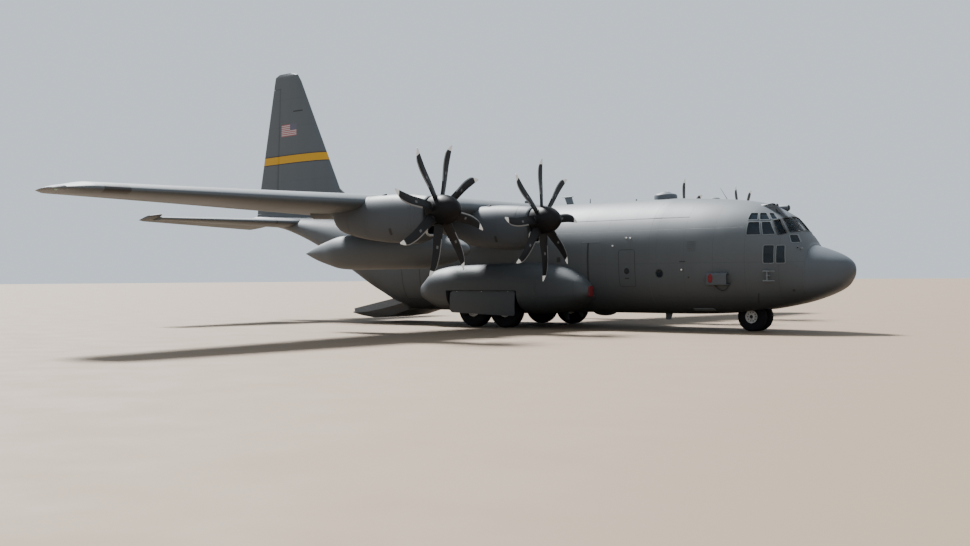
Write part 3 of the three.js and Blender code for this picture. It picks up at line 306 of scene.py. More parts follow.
def body_rings(xs, grow=0.0, points=96, floor=None, table=BODY_TABLE, rows=smooth_rows):
    """Rings of the fuselage: each is an ellipse-like curve, cosine and sine raised to two over the
    power, wider and taller by grow, and level at the floor where one is given."""
    under, crown, half = columns(table, xs, rows)[..., None]
    c, s = np.cos(around(points)), np.sin(around(points))
    power = 2 / np.where(s > 0, CROWN_POWER, BELLY_POWER)
    rings = joined(np.asarray(xs)[:, None], (half + grow) * powered(c, power),
                   (under + crown) / 2 + ((crown - under) / 2 + grow) * powered(s, power))
    if floor is not None:
        rings[..., 2] = np.maximum(rings[..., 2], floor)
    return rings


def steps_between(a, b, size):
    """Evenly spaced places from a to b, no further apart than size."""
    return np.linspace(a, b, max(2, math.ceil(abs(b - a) / size) + 1))


# ---- meshes


class Form:
    """A mesh being put together: its vertices, faces and the finish of each face."""

    def __init__(self):
        self.vertices, self.faces, self.finishes, self.count = [], [], [], 0

    def add(self, chunk, finish=0, move=(0, 0, 0), side=1):
        """Adds a chunk of vertices and faces, moved, and then mirrored in Y for side -1."""
        vertices, faces = chunk
        vertices = (np.asarray(vertices, float).reshape(-1, 3) + move) * (1, side, 1)
        self.vertices.append(vertices)
        for block in faces:
            self.faces.append(np.asarray(block) + self.count)
            self.finishes.append(np.full(len(block), finish))
        self.count += len(vertices)
        return self

    def mesh(self, name):
        """The form as a mesh in the model's frame, doubles merged and faces turned outwards."""
        mesh = bpy.data.meshes.new(name)
        faces = [face for block in self.faces for face in block.tolist()]
        mesh.from_pydata(to_model(np.vstack(self.vertices)).tolist(), [], faces)
        mesh.polygons.foreach_set("material_index", np.concatenate(self.finishes).astype(np.int32))
        work = bmesh.new()
        work.from_mesh(mesh)
        bmesh.ops.remove_doubles(work, verts=work.verts, dist=1e-6)
        bmesh.ops.recalc_face_normals(work, faces=work.faces)
        work.to_mesh(mesh)
        work.free()
        return mesh


def tube(rings, ends=True):
    """A closed skin through rings of equally many points, with a fan over each end."""
    rings = np.asarray(rings, float)
    rows, n = rings.shape[:2]
    i = np.arange(n)
    j = (i + 1) % n
    base = np.arange(rows - 1)[:, None] * n
    quads = np.stack([base + i, base + j, base + n + j, base + n + i], -1).reshape(-1, 4)
    vertices = rings.reshape(-1, 3)
    if not ends:
        return vertices, [quads]
    first, last = len(vertices), len(vertices) + 1
    vertices = np.vstack([vertices, rings[0].mean(0), rings[-1].mean(0)])
    start = np.stack([np.full(n, first), j, i], -1)
    end = np.stack([np.full(n, last), i + (rows - 1) * n, j + (rows - 1) * n], -1)
    return vertices, [quads, np.vstack([start, end])]


def ring_tube(rings):
    """A skin through rings that goes round and meets itself, closed both ways."""
    rings = np.asarray(rings, float)
    return tube(np.concatenate([rings, rings[:1]]), ends=False)


AXES = {"x": (0, 1, 2), "y": (1, 2, 0), "z": (2, 0, 1)}


def carried_round(profile, centre, axis, sides):
    """The places and radii of a profile carried round an axis: a ring for each point of it."""
    profile = np.asarray(profile, float)
    angle = around(sides)
    rings = np.empty((len(profile), sides, 3))
    along, first, second = AXES[axis]
    rings[..., along] = profile[:, :1]
    rings[..., first] = profile[:, 1:] * np.cos(angle)
    rings[..., second] = profile[:, 1:] * np.sin(angle)
    return rings + np.asarray(centre, float)


def turned(profile, centre, axis="x", sides=48):
    """A turned shape: each place and radius of the profile is carried round the axis."""
    return tube(carried_round(profile, centre, axis, sides))


def turned_ring(profile, centre, axis="x", sides=48):
    """A turned ring: a closed profile of places and radii is carried round the axis."""
    return ring_tube(carried_round(profile, centre, axis, sides).swapaxes(0, 1))


def circles(points, along, radii, sides):
    """A circle about each point, square to the direction there: cosine and sine of the angle times
    two directions square to it."""
    along = along / np.linalg.norm(along, axis=1, keepdims=True)
    helper = np.eye(3)[np.argmin(np.abs(along).max(0))]
    first = np.cross(along, helper)
    first /= np.linalg.norm(first, axis=1, keepdims=True)
    second = np.cross(along, first)[:, None]
    angle = around(sides)[:, None]
    round_it = np.cos(angle) * first[:, None] + np.sin(angle) * second
    return points[:, None] + np.asarray(radii, float).reshape(-1, 1, 1) * round_it


def bar(start, end, radius, sides=16, end_radius=None):
    """A round bar between two points, tapered to end_radius where one is given."""
    ends = np.array([start, end], float)
    along = np.tile(ends[1] - ends[0], (2, 1))
    return tube(circles(ends, along, (radius, end_radius or radius), sides))


def pipe(points, radius, sides=10, closed=False):
    """A round pipe along a smooth line: at each point a circle stands square to the line."""
    points = np.asarray(points, float)
    if closed:
        along = np.roll(points, -1, 0) - np.roll(points, 1, 0)
        return ring_tube(circles(points, along, radius, sides))
    return tube(circles(points, np.gradient(points, axis=0), radius, sides))


def prism(outline, low, high, across="y"):
    """A flat outline carried straight from low to high along the axis it is drawn across."""
    outline = np.asarray(outline, float)
    n = len(outline)
    order = {"x": (1, 2, 0), "y": (0, 2, 1), "z": (0, 1, 2)}[across]
    rings = np.empty((2, n, 3))
    rings[..., order[0]] = outline[:, 0]
    rings[..., order[1]] = outline[:, 1]
    rings[..., order[2]] = np.array([[low], [high]])
    vertices, faces = tube(rings, ends=False)
    return vertices, [faces[0], np.stack([np.arange(n)[::-1], np.arange(n) + n])]


def block(x, y, z, bevel=0.0):
    """A block between pairs of x, y and z, its long edges cut by the bevel."""
    (x0, x1), (y0, y1), (z0, z1) = x, y, z
    if not bevel:
        return prism([[x0, z0], [x1, z0], [x1, z1], [x0, z1]], y0, y1)
    b = bevel
    outline = np.array([[y0 + b, z0], [y1 - b, z0], [y1, z0 + b], [y1, z1 - b],
                        [y1 - b, z1], [y0 + b, z1], [y0, z1 - b], [y0, z0 + b]])
    middle = [(y0 + y1) / 2, (z0 + z1) / 2]
    small = middle + (outline - middle) * (1 - 2 * b / np.array([y1 - y0, z1 - z0]))
    rings = [np.column_stack([np.full(8, at), shape]) for at, shape in (
        (x0, small), (x0 + b, outline), (x1 - b, outline), (x1, small))]
    return tube(rings)


def rounded(outline, radius, count=72):
    """A closed outline with rounded corners, at evenly spaced points: each corner becomes a curve
    through (1-t)^2 a + 2t(1-t) corner + t^2 b, where a and b lie the radius away on its edges."""
    outline = np.asarray(outline, float)
    before, after = np.roll(outline, 1, 0) - outline, np.roll(outline, -1, 0) - outline
    reach = [radius / np.maximum(np.linalg.norm(v, axis=1), 2.2 * radius)[:, None]
             for v in (before, after)]
    a, b = outline + before * reach[0], outline + after * reach[1]
    t = np.linspace(0, 1, 7)[None, :, None]
    curve = ((1 - t) ** 2 * a[:, None] + 2 * t * (1 - t) * outline[:, None]
             + t**2 * b[:, None]).reshape(-1, 2)
    return resample(curve, count)


def resample(outline, count):
    """The points of a closed line at even distances along it."""
    closed = np.vstack([outline, outline[:1]])
    run = np.concatenate([[0], np.cumsum(np.linalg.norm(np.diff(closed, axis=0), axis=1))])
    at = np.linspace(0, run[-1], count, endpoint=False)
    return np.stack([np.interp(at, run, closed[:, k]) for k in (0, 1)], -1)


def widened(outline, by):
    """A closed outline moved outwards by a distance, square to itself at each point."""
    after = np.roll(outline, -1, 0)
    along = after - np.roll(outline, 1, 0)
    along /= np.linalg.norm(along, axis=1, keepdims=True)
    out = np.stack([along[:, 1], -along[:, 0]], -1)
    area = np.sum(outline[:, 0] * after[:, 1] - outline[:, 1] * after[:, 0])
    return outline + np.sign(area) * by * out


def frame_strip(outline, place, width, high):
    """A flat frame round an outline on a surface: four lines, inner and outer, low and high, are
    carried round it by place, which gives the surface's point for two numbers and a height."""
    inner, outer = widened(outline, -width / 2), widened(outline, width / 2)
    lines = [(inner, -SINK), (inner, high), (outer, high), (outer, -SINK)]
    return ring_tube(np.stack([place(o[:, 0], o[:, 1], h) for o, h in lines], 1))


def pane(outline, place, top, thickness=SINK):
    """A pane that fills an outline on a surface: the outline grows from its middle on the outer
    face and shrinks back to it on the inner one."""
    middle = outline.mean(0)
    shares = np.array([0, 0.3, 0.6, 0.85, 1.0])
    return tube([place(*(middle + share * (outline - middle)).T, height)
                 for height, order in ((top, shares), (top - thickness, shares[::-1]))
                 for share in order], ends=False)


def camber_line(u, camber):
    """The middle line's height over the chord: 4 times camber times u times (1 - u)."""
    return 4 * camber * u * (1 - u)


def wing_section(rows, part, to, camber=0.0, count=22):
    """Rings of a wing: at each part u of the chord the skins lie the half thickness over and under
    the camber line. Points are close together at the leading edge, up to part, and then run evenly
    to the end."""
    y, edge_x, edge_z, chord, tilt, ratio = np.asarray(rows, float).T[..., None]
    part, to = (np.full(len(rows), value, float)[:, None] for value in (part, to))
    dense = 1 - np.cos(np.linspace(0, np.pi / 2, count))
    u = np.hstack([dense * part, part + (to - part) * np.linspace(0, 1, 6)[1:]])
    half, middle = half_thickness(u, ratio), camber_line(u, camber)
    fall = u * chord * np.tan(np.radians(tilt))
    upper, lower = (joined(edge_x - u * chord, y, edge_z + (middle + skin * half) * chord - fall)
                    for skin in (1, -1))
    return np.concatenate([upper[:, ::-1], lower], axis=1)


def half_thickness(u, ratio):
    """The usual four-digit half thickness at a part of the chord, a sum of its square root and
    powers, with a thin rear edge."""
    return 5 * ratio * (0.2969 * np.sqrt(u) - 0.126 * u - 0.3516 * u**2 + 0.2843 * u**3
                        - 0.1015 * u**4) + 0.001


def hinged_section(rows, hinge, camber=0.0):
    """Rings of a flap: a half circle about the hinge in front, then the section's own surfaces."""
    y, edge_x, edge_z, chord, tilt, ratio = np.asarray(rows, float).T[..., None]
    hinge = np.asarray(hinge, float)[:, None]
    radius = half_thickness(hinge, ratio) * chord * NOSE_FILL
    angle = np.linspace(np.pi / 2, 3 * np.pi / 2, 15)
    back = hinge * chord + radius * np.cos(angle)
    up = camber_line(hinge, camber) * chord + radius * np.sin(angle)
    t = np.linspace(0, 1, 9)[1:]
    u = hinge + (1 - hinge) * t
    fill = NOSE_FILL + (1 - NOSE_FILL) * np.minimum(1, t / 0.45)
    half = half_thickness(u, ratio) * fill * chord
    middle = camber_line(u, camber) * chord
    back = np.hstack([back, u * chord, (u * chord)[:, ::-1]])
    up = np.hstack([up, middle - half, (middle + half)[:, ::-1]])
    return joined(edge_x - back, y, edge_z + up - back * np.tan(np.radians(tilt)))


def hinge_part(rows, start):
    """Where a flap's hinge lies, as a part of the chord, so that its nose clears the spar."""
    return start + RUN_GAP / rows[:, 3] + NOSE_FILL * half_thickness(start, rows[:, 5])


def rows_at(table, keys):
    """Whole rows of a table, with their key, at new keys."""
    keys = np.asarray(keys, float)
    return np.column_stack([keys, straight_rows(table, keys)])


# ---- pieces


def add_object(name, data):
    """An object of some data, linked to the scene."""
    made = bpy.data.objects.new(name, data)
    bpy.context.scene.collection.objects.link(made)
    return made


def put(name, shape, finishes, body="airframe", replaces=(), sharp=32):
    """Makes an object of a form or mesh, with its finishes, body and replaced nodes."""
    mesh = shape.mesh(name) if isinstance(shape, Form) else shape
    piece = add_object(name, mesh)
    for look in finishes:
        mesh.materials.append(finish(look))
    mesh.shade_smooth()
    if sharp:
        mesh.set_sharp_from_angle(angle=math.radians(sharp))
    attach(piece, body)
    if replaces:
        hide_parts(*replaces)
    return piece


def carve(mesh, name, *cutters, operation="DIFFERENCE"):
    """A mesh after a solid cut by each cutter."""
    worker = add_object(name + "_work", mesh)
    made = [worker]
    for cutter in cutters:
        made.append(add_object(name + "_tool", cutter))
        change = worker.modifiers.new("cut", "BOOLEAN")
        change.operation, change.solver, change.object = operation, "EXACT", made[-1]
    bpy.context.view_layer.update()
    graph = bpy.context.evaluated_depsgraph_get()
    result = bpy.data.meshes.new_from_object(worker.evaluated_get(graph))
    result.name = name
    result.materials.clear()
    for thing in made:
        bpy.data.objects.remove(thing)
    return result


def values_of(items, name, width=1, kind=float):
    """One value of each of a mesh's vertices, corners or faces, as an array."""
    found = np.empty(len(items) * width, kind)
    items.foreach_get(name, found)
    return found.reshape(-1, width) if width > 1 else found


def full_points(mesh):
    """A mesh's vertices in full-size metres."""
    return values_of(mesh.vertices, "co", 3) / MODEL_SCALE + (CENTRE_X, 0, 0)


def shade_as_body(mesh):
    """Gives the outer faces of a fuselage mesh the fuselage's own normals, and leaves cut faces
    and inner walls with theirs: a corner on the skin takes the body's normal where its face nearly
    faces that way."""
    mesh.shade_smooth()
    full = full_points(mesh)
    index = values_of(mesh.loops, "vertex_index", kind=np.int32)
    owner = np.repeat(values_of(mesh.polygons, "normal", 3),
                      values_of(mesh.polygons, "loop_total", kind=np.int32), axis=0)
    skin = body_normal(full)[index]
    on_skin = (np.abs(body_level(full)) < SKIN_LEVEL)[index]
    use = on_skin & (np.sum(owner * skin, 1) > SKIN_FACING)
    mesh.normals_split_custom_set(np.where(use[:, None], skin, owner).tolist())


# ---- finishes


class Signal:
    """A shader socket that can stand in a Python expression; each operation adds a Math node."""

    def __init__(self, finish, socket):
        self.finish, self.socket = finish, socket

    def math(self, operation, *others):
        values = dict(enumerate((self, *others)))
        node = self.finish.node("ShaderNodeMath", {"operation": operation}, values)
        return Signal(self.finish, node.outputs[0])

    def __add__(self, other):
        return self.math("ADD", other)

    __radd__ = __add__

    def __mul__(self, other):
        return self.math("MULTIPLY", other)

    __rmul__ = __mul__

    def __sub__(self, other):
        return self.math("SUBTRACT", other)

    def __rsub__(self, other):
        return (self * -1.0) + other

    def __truediv__(self, other):
        return self.math("DIVIDE", other)

    def __abs__(self):
        return self.math("ABSOLUTE")

    def less(self, limit):
        return self.math("LESS_THAN", limit)

    def more(self, limit):
        return self.math("GREATER_THAN", limit)

    def repeat(self, size):
        return self.math("PINGPONG", size)

    def within(self, low, high):
        return self.more(low) * self.less(high)

    def spread(self, low, high, start=0.0, end=1.0):
        node = self.finish.node("ShaderNodeMapRange", {"clamp": True},
                                {"Value": self, "From Min": low, "From Max": high,
                                 "To Min": start, "To Max": end})
        return Signal(self.finish, node.outputs[0])


SHADER_SOCKETS = {"specular": "Specular IOR Level", "ior": "IOR", "alpha": "Alpha",
                  "metallic": "Metallic"}


class Finish:
    """One material: a Principled shader and the nodes that drive it."""

    def __init__(self, name, **constants):
        self.material = bpy.data.materials.new(name)
        self.material.use_nodes = True
        self.tree = self.material.node_tree
        self.shader = self.tree.nodes["Principled BSDF"]
        for key, value in constants.items():
            self.shader.inputs[SHADER_SOCKETS[key]].default_value = value
        self.coordinates = self.node("ShaderNodeTexCoord").outputs["Object"]
        parts = self.node("ShaderNodeSeparateXYZ", {}, {0: self.coordinates})
        scale = 1 / MODEL_SCALE
        self.x = Signal(self, parts.outputs[0]) * scale + CENTRE_X
        self.y = Signal(self, parts.outputs[1]) * scale
        self.z = Signal(self, parts.outputs[2]) * scale

    def node(self, kind, settings=None, values=None):
        """A node of a kind, with its settings made first and then its sockets set or linked."""
        node = self.tree.nodes.new(kind)
        for name, value in (settings or {}).items():
            setattr(node, name, value)
        for key, value in (values or {}).items():
            socket = node.inputs[key]
            source = value.socket if isinstance(value, Signal) else value
            if isinstance(source, bpy.types.NodeSocket):
                self.tree.links.new(source, socket)
            else:
                socket.default_value = source
        return node

    def noise(self, scale, detail=3.0, stretch=(1, 1, 1), roughness=0.55):
        """Cloudy noise from 0 to 1 on object coordinates, stretched along each axis."""
        mapping = self.node("ShaderNodeMapping", {}, {"Vector": self.coordinates, "Scale": stretch})
        noise = self.node("ShaderNodeTexNoise", {}, {
            "Vector": mapping.outputs[0], "Scale": scale, "Detail": detail, "Roughness": roughness})
        return Signal(self, noise.outputs[0])

    def attribute(self, name):
        """The value of one of the mesh's own attributes."""
        node = self.node("ShaderNodeAttribute", {"attribute_name": name})
        return Signal(self, node.outputs["Fac"])

    def mix(self, first, second, factor):
        """A colour between two colours."""
        node = self.node("ShaderNodeMix", {"data_type": "RGBA"}, {0: factor, 6: first, 7: second})
        return node.outputs[2]

    def shade(self, colour, factor):
        """A colour made darker or lighter by a factor about one."""
        grey = self.node("ShaderNodeCombineColor", {}, {0: factor, 1: factor, 2: factor})
        node = self.node("ShaderNodeMix", {"data_type": "RGBA", "blend_type": "MULTIPLY"},
                         {0: 1.0, 6: colour, 7: grey.outputs[0]})
        return node.outputs[2]

    def done(self, colour=None, roughness=None, bump=None, distance=0.002):
        """Feeds the shader's colour, roughness and bump, and gives the material."""
        if colour is not None:
            self.tree.links.new(colour, self.shader.inputs["Base Color"])
        if roughness is not None:
            self.tree.links.new(roughness.socket, self.shader.inputs["Roughness"])
        if bump is not None:
            node = self.node("ShaderNodeBump", {}, {"Height": bump, "Distance": distance,
                                                    "Strength": 0.6})
            self.tree.links.new(node.outputs[0], self.shader.inputs["Normal"])
        return self.material


def rgba(colour):
    """A colour property with full alpha."""
    return (*colour[:3], 1.0)


def lines(signal, spacing, width):
    """Thin lines at even spacing: one where the distance to the nearest line is under the width."""
    return (signal + spacing * 40).repeat(spacing / 2).less(width)


def paint(name, colour, panels=(), marks=None, gloss=0.0, painted_belly_shade=0.0):
    """Matte sprayed paint: cloudy change of tone, streaks down the sides, faint panel lines that
    are also grooves, painted shade darkening it towards the belly, and fine orange peel."""
    f = Finish(name, specular=0.35)
    clouds = f.noise(0.55, 4.0)
    streaks = f.noise(3.2, 4.0, (1, 1, 0.12))
    fine = f.noise(55.0, 2.0)
    tone = clouds.spread(0.3, 0.7, 0.92, 1.07) * streaks.spread(0.3, 0.7, 0.965, 1.03)
    line = None
    for axis, spacing, width in panels:
        mark = lines(getattr(f, axis), spacing, width)
        line = mark if line is None else line.math("MAXIMUM", mark)
    if line is not None:
        tone = tone * (1 - line * 0.20)
    # Painted shade: the colour darkens from the sides down towards the belly, where the underside
    # lies in shade.
    if painted_belly_shade:
        tone = tone * f.z.spread(0.9, 3.5, 1 - painted_belly_shade, 1.0)
    base = f.shade(rgba(colour), tone)
    if marks:
        base = marks(f, base)
    rough = clouds.spread(0.25, 0.75, 0.50 - gloss, 0.66 - gloss)
    height = fine * 0.12 if line is None else fine * 0.12 - line
    return f.done(base, rough, height, 0.0015)


def plain(name, colour, roughness, metallic=0.0, scale=30.0, change=0.10, stretch=(1, 1, 1),
          specular=0.4):
    """A finish with fine changes of tone and roughness, such as rubber, cast metal or sealant."""
    f = Finish(name, metallic=metallic, specular=specular)
    grain = f.noise(scale, 4.0, stretch)
    broad = f.noise(scale / 12, 3.0)
    tone = grain.spread(0.3, 0.7, 1 - change, 1 + change) * broad.spread(0.3, 0.7, 0.94, 1.06)
    rough = broad.spread(0.3, 0.7, max(0.03, roughness - 0.07), min(1.0, roughness + 0.07))
    return f.done(f.shade(rgba(colour), tone), rough, grain * 0.3, 0.001)


_finishes = {}


def finish(name):
    """The named material, made at its first use."""
    if name not in _finishes:
        _finishes[name] = FINISH_MAKERS[name](bpy.context.scene.plane_colours)
    return _finishes[name]


def fin_marks(f, base):
    """The level band round the fin, edged dark, and a plain striped field with a plain canton."""
    colours = bpy.context.scene.plane_colours
    edge = f.z.within(*BAND_EDGE_Z) * f.x.within(*BAND_X)
    band = f.z.within(*BAND_Z)
    base = f.mix(base, rgba(colours.band_edge), edge)
    base = f.mix(base, rgba(colours.band), edge * band)
    flag = f.x.within(*FLAG_X) * f.z.within(*FLAG_Z)
    low, high = FLAG_Z
    stripe = ((f.z - low) / (high - low) * FLAG_STRIPE_PAIRS).math("FRACT").less(0.5)
    cloth = f.mix(rgba(colours.flag_white), rgba(colours.flag_red), stripe)
    canton = f.x.more(CANTON_X) * f.z.more(CANTON_Z)
    cloth = f.mix(cloth, rgba(colours.flag_blue), canton)
    base = f.mix(base, cloth, flag)
    slot = f.x.within(*FIN_SLOT_X) * abs(f.z - FIN_SLOT_Z).less(0.03)
    return f.mix(base, rgba(colours.band_edge), slot)


def wing_marks(f, base):
    """The dark patch near the tip's leading edge, and the dark walkway lines over the wing root."""
    colours = bpy.context.scene.plane_colours
    side = abs(f.y)
    patch = side.within(18.62, 19.38) * f.x.more(1.02)
    walk = side.within(2.3, 2.36) * f.x.less(1.2)
    return f.mix(base, rgba(colours.dark_patch), patch.math("MAXIMUM", walk))


def blade_material(colours):
    """Black blades with a pale leading edge strip, a small plain patch and white tips, from two
    attributes of the mesh: the part of the radius and the place along the chord."""
    f = Finish("blade composite", specular=0.2)
    span, chord = f.attribute("span"), f.attribute("chord")
    grain = f.noise(24.0, 4.0)
    base = f.shade(rgba(colours.blade), grain.spread(0.3, 0.7, 0.85, 1.2))
    strip = chord.more(0.86) * span.within(0.42, 0.91)
    patch = span.within(0.53, 0.575) * chord.within(0.38, 0.62)
    base = f.mix(base, rgba(colours.blade_edge), strip.math("MAXIMUM", patch * 0.5))
    base = f.mix(base, rgba(colours.blade_tip), span.more(0.91))
    return f.done(base, grain.spread(0.3, 0.7, 0.38, 0.52), grain * 0.2, 0.001)


def glass_material(colours, name="cockpit glass", alpha=0.94):
    """Dark tinted glass, smooth and a little see-through, with a faint cloudy haze."""
    f = Finish(name, alpha=alpha, ior=1.45, specular=0.2)
    haze = f.noise(6.0, 2.0)
    return f.done(f.shade(rgba(colours.glass), haze.spread(0.3, 0.7, 0.8, 1.25)),
                  haze.spread(0.3, 0.7, 0.10, 0.18))


BODY_PANELS = (("x", 1.02, 0.007), ("z", 1.16, 0.006))
WING_PANELS = (("y", 1.45, 0.007), ("x", 0.98, 0.006))
FINISH_MAKERS = {
    # The last figure given to the body, radome and panel paints is painted shade that darkens them
    # towards the belly.
    "body": lambda c: paint("body paint", c.grey, BODY_PANELS, painted_belly_shade=0.55),
    "radome": lambda c: paint("radome paint", c.radome_grey, gloss=0.04, painted_belly_shade=0.45),
    "wing": lambda c: paint("wing paint", c.grey, WING_PANELS, wing_marks),
    "fin": lambda c: paint("fin paint", c.grey, (("z", 1.3, 0.007),), fin_marks),
    "panel": lambda c: paint("panel paint", c.grey, painted_belly_shade=0.5),
    # Painted shade: the nacelles take a darker copy of the skins' grey, as if they lay in shade.
    "nacelle": lambda c: paint("nacelle paint in painted shade", c.nacelle_shade_grey, (("x", 0.95, 0.007),)),
    "window frame": lambda c: plain("window frame paint", c.window_frame, 0.5, scale=20),
    "lip": lambda c: plain("intake lip metal", c.lip, 0.38, 0.5, scale=25, change=0.06),
    "seal": lambda c: plain("dark sealant", c.sealant, 0.7, scale=40),
    # Dark paint for the spinner collars and shaft, and painted shade on the plates at the backs of
    # the intakes and the air scoop.
    "dark": lambda c: plain("dark paint and painted cavity shade", (0.012, 0.012, 0.013), 0.8, scale=20),
    "blade": blade_material,
    "spinner": lambda c: plain("spinner paint", c.blade, 0.5, scale=25, change=0.15,
                               specular=0.12),
    "rubber": lambda c: plain("tyre rubber", (0.009, 0.009, 0.010), 0.9, scale=60, change=0.25,
                              specular=0.15),
    "rim": lambda c: plain("wheel rim enamel", c.rim, 0.42, scale=30, change=0.06),
    "steel": lambda c: plain("leg enamel", (0.42, 0.43, 0.43), 0.4, 0.1, scale=30, change=0.08),
    "chrome": lambda c: plain("polished strut", (0.6, 0.61, 0.62), 0.2, 0.9, scale=40, change=0.05),
    "deck": lambda c: plain("worn deck metal", (0.16, 0.165, 0.17), 0.55, 0.4, scale=35, change=0.2,
                            stretch=(0.25, 1, 1)),
    "ramp": lambda c: plain("ramp plate paint", (0.13, 0.135, 0.14), 0.6, 0.1, scale=18),
    "lining": lambda c: plain("hold lining", (0.25, 0.26, 0.25), 0.7, scale=14, change=0.08),
    "seat": lambda c: plain("seat cloth", (0.05, 0.06, 0.05), 0.9, scale=80, change=0.2),
    "cover": lambda c: plain("red cover cloth", c.cover_red, 0.8, scale=60, change=0.15),
    "lamp": lambda c: plain("lamp lens", (0.75, 0.75, 0.72), 0.15, scale=20, change=0.05),
    "red lamp": lambda c: plain("red lamp lens", (0.45, 0.02, 0.02), 0.15, scale=20, change=0.05),
    "green lamp": lambda c: plain("green lamp lens", (0.02, 0.3, 0.08), 0.15, scale=20,
                                  change=0.05),
    "glass": glass_material,
    "clear glass": lambda c: glass_material(c, "clear windscreen glass", 0.35),
    "faint seam": lambda c: plain("faint seam sealant", (0.053, 0.060, 0.066), 0.65, scale=40),
    "exhaust": lambda c: plain("burnt exhaust metal", (0.06, 0.052, 0.046), 0.55, 0.7, scale=12,
                               change=0.3),
}


def colour_property(name, description, default):
    """A colour that a user can change."""
    return bpy.props.FloatVectorProperty(name=name, description=description, default=default,
                                         subtype="COLOR", size=3, min=0.0, max=1.0)


class PlaneColours(bpy.types.PropertyGroup):
    """The colours of the aeroplane's finishes."""

    grey: colour_property("Grey", "Grey of the skins", (0.071, 0.082, 0.092))
    # Painted shade: a darker copy of the skins' grey for the nacelles, standing for the shade they
    # lie in.
    nacelle_shade_grey: colour_property("Nacelles", "Grey of the nacelles", (0.050, 0.058, 0.068))
    radome_grey: colour_property("Radome", "Grey of the nose cone", (0.066, 0.078, 0.092))
    window_frame: colour_property("Window frames", "Grey of window frames", (0.098, 0.112, 0.122))
    lip: colour_property("Intake lips", "Colour of the intake lips", (0.42, 0.44, 0.45))
    sealant: colour_property("Sealant", "Colour of seams and door edges", (0.020, 0.021, 0.022))
    blade: colour_property("Blades", "Colour of blades and spinners", (0.006, 0.006, 0.007))
    blade_edge: colour_property("Blade edges", "Strip on the leading edges", (0.17, 0.175, 0.18))
    blade_tip: colour_property("Blade tips", "Paint on the blade tips", (0.72, 0.72, 0.70))
    band: colour_property("Band", "Band round the fin", (0.46, 0.25, 0.004))
    band_edge: colour_property("Band edge", "Edges of the band and dark slots", (0.02, 0.02, 0.022))
    flag_red: colour_property("Stripes", "Red stripes on the fin", (0.26, 0.07, 0.08))
    flag_white: colour_property("Pale stripes", "Pale stripes on the fin", (0.40, 0.37, 0.37))
    flag_blue: colour_property("Canton", "Plain corner of the stripes", (0.085, 0.088, 0.125))
    dark_patch: colour_property("Dark patch", "Dark areas on the wing", (0.035, 0.036, 0.038))
    rim: colour_property("Wheel rims", "Colour of the wheel rims", (0.46, 0.46, 0.44))
    glass: colour_property("Glass", "Colour of the flight deck glass", (0.009, 0.015, 0.021))
    floor: colour_property("Floor", "Colour of the floor under the plane", (0.150, 0.106, 0.066))
    sky: colour_property("Sky", "Colour of the light from all round", (0.80, 0.90, 1.0))
    cover_red: colour_property("Covers", "Cloth of the openings' covers", (0.12, 0.008, 0.012))


def length_property(name, description, default):
    """A length in metres of the full-size aeroplane."""
    return bpy.props.FloatProperty(name=name, description=description, default=default, min=0.0,
                                   unit="LENGTH")


class PlaneSizes(bpy.types.PropertyGroup):
    """The sizes of the details that the looks add to the frame."""

    frame_width: length_property("Window frame", "Width of the frames round the windows", 0.024)
    frame_height: length_property("Frame height", "How far window frames stand out", 0.008)
    glass_depth: length_property("Glass depth", "How far the glass lies under the skin", 0.015)
    seam_width: length_property("Seam width", "Width of the seams round doors", 0.016)
    groove_depth: length_property("Tyre grooves", "Depth of the grooves in the tyres", 0.014)
    ring_step: length_property("Ring step", "Distance between rings of the fuselage skin", 0.16)


# ---- fuselage


def solid_of(chunk, move=(0, 0, 0), side=1):
    """One closed chunk as a mesh in the model's frame."""
    return Form().add(chunk, move=move, side=side).mesh("solid")


def body_solid(start, end, step, grow=0.0, **ways):
    """The fuselage's form between two places, or the hollow in it."""
    return solid_of(tube(body_rings(steps_between(start, end, step), grow, **ways)))


def door_box(door, gap=0.0):
    """The box that cuts a door out of the wall, smaller by a gap at each edge."""
    x0, x1, z0, z1 = door
    return block((x0 + gap, x1 - gap), (1.2, 2.4), (z0 + gap, z1 - gap))


def put_skin(name, mesh, look, body, node):
    """Puts a piece of the fuselage's wall, shaded as the whole fuselage."""
    shade_as_body(mesh)
    put(name, mesh, [look], body, replaces=[node], sharp=0)


def circle_outline(centre, radius, count):
    """Points of a circle: its middle plus the radius times cosine and sine."""
    return radius * np.column_stack([np.cos(around(count)), np.sin(around(count))]) + centre


def window_outlines():
    """Each window's name, rounded outline and the surface that it lies on."""
    found = []
    for side_name, side in SIDES:
        for name, outline in SIDE_WINDOWS.items():
            found.append((f"{name}_{side_name}", rounded(outline, CORNER), on_side(side)))
        outline = np.array(FRONT_WINDOWS["screen"]) * (side, 1)
        found.append((f"screen_{side_name}", rounded(outline, CORNER), front_point))
    found.append(("centre", rounded(FRONT_WINDOWS["centre"], CORNER), front_point))
    return found


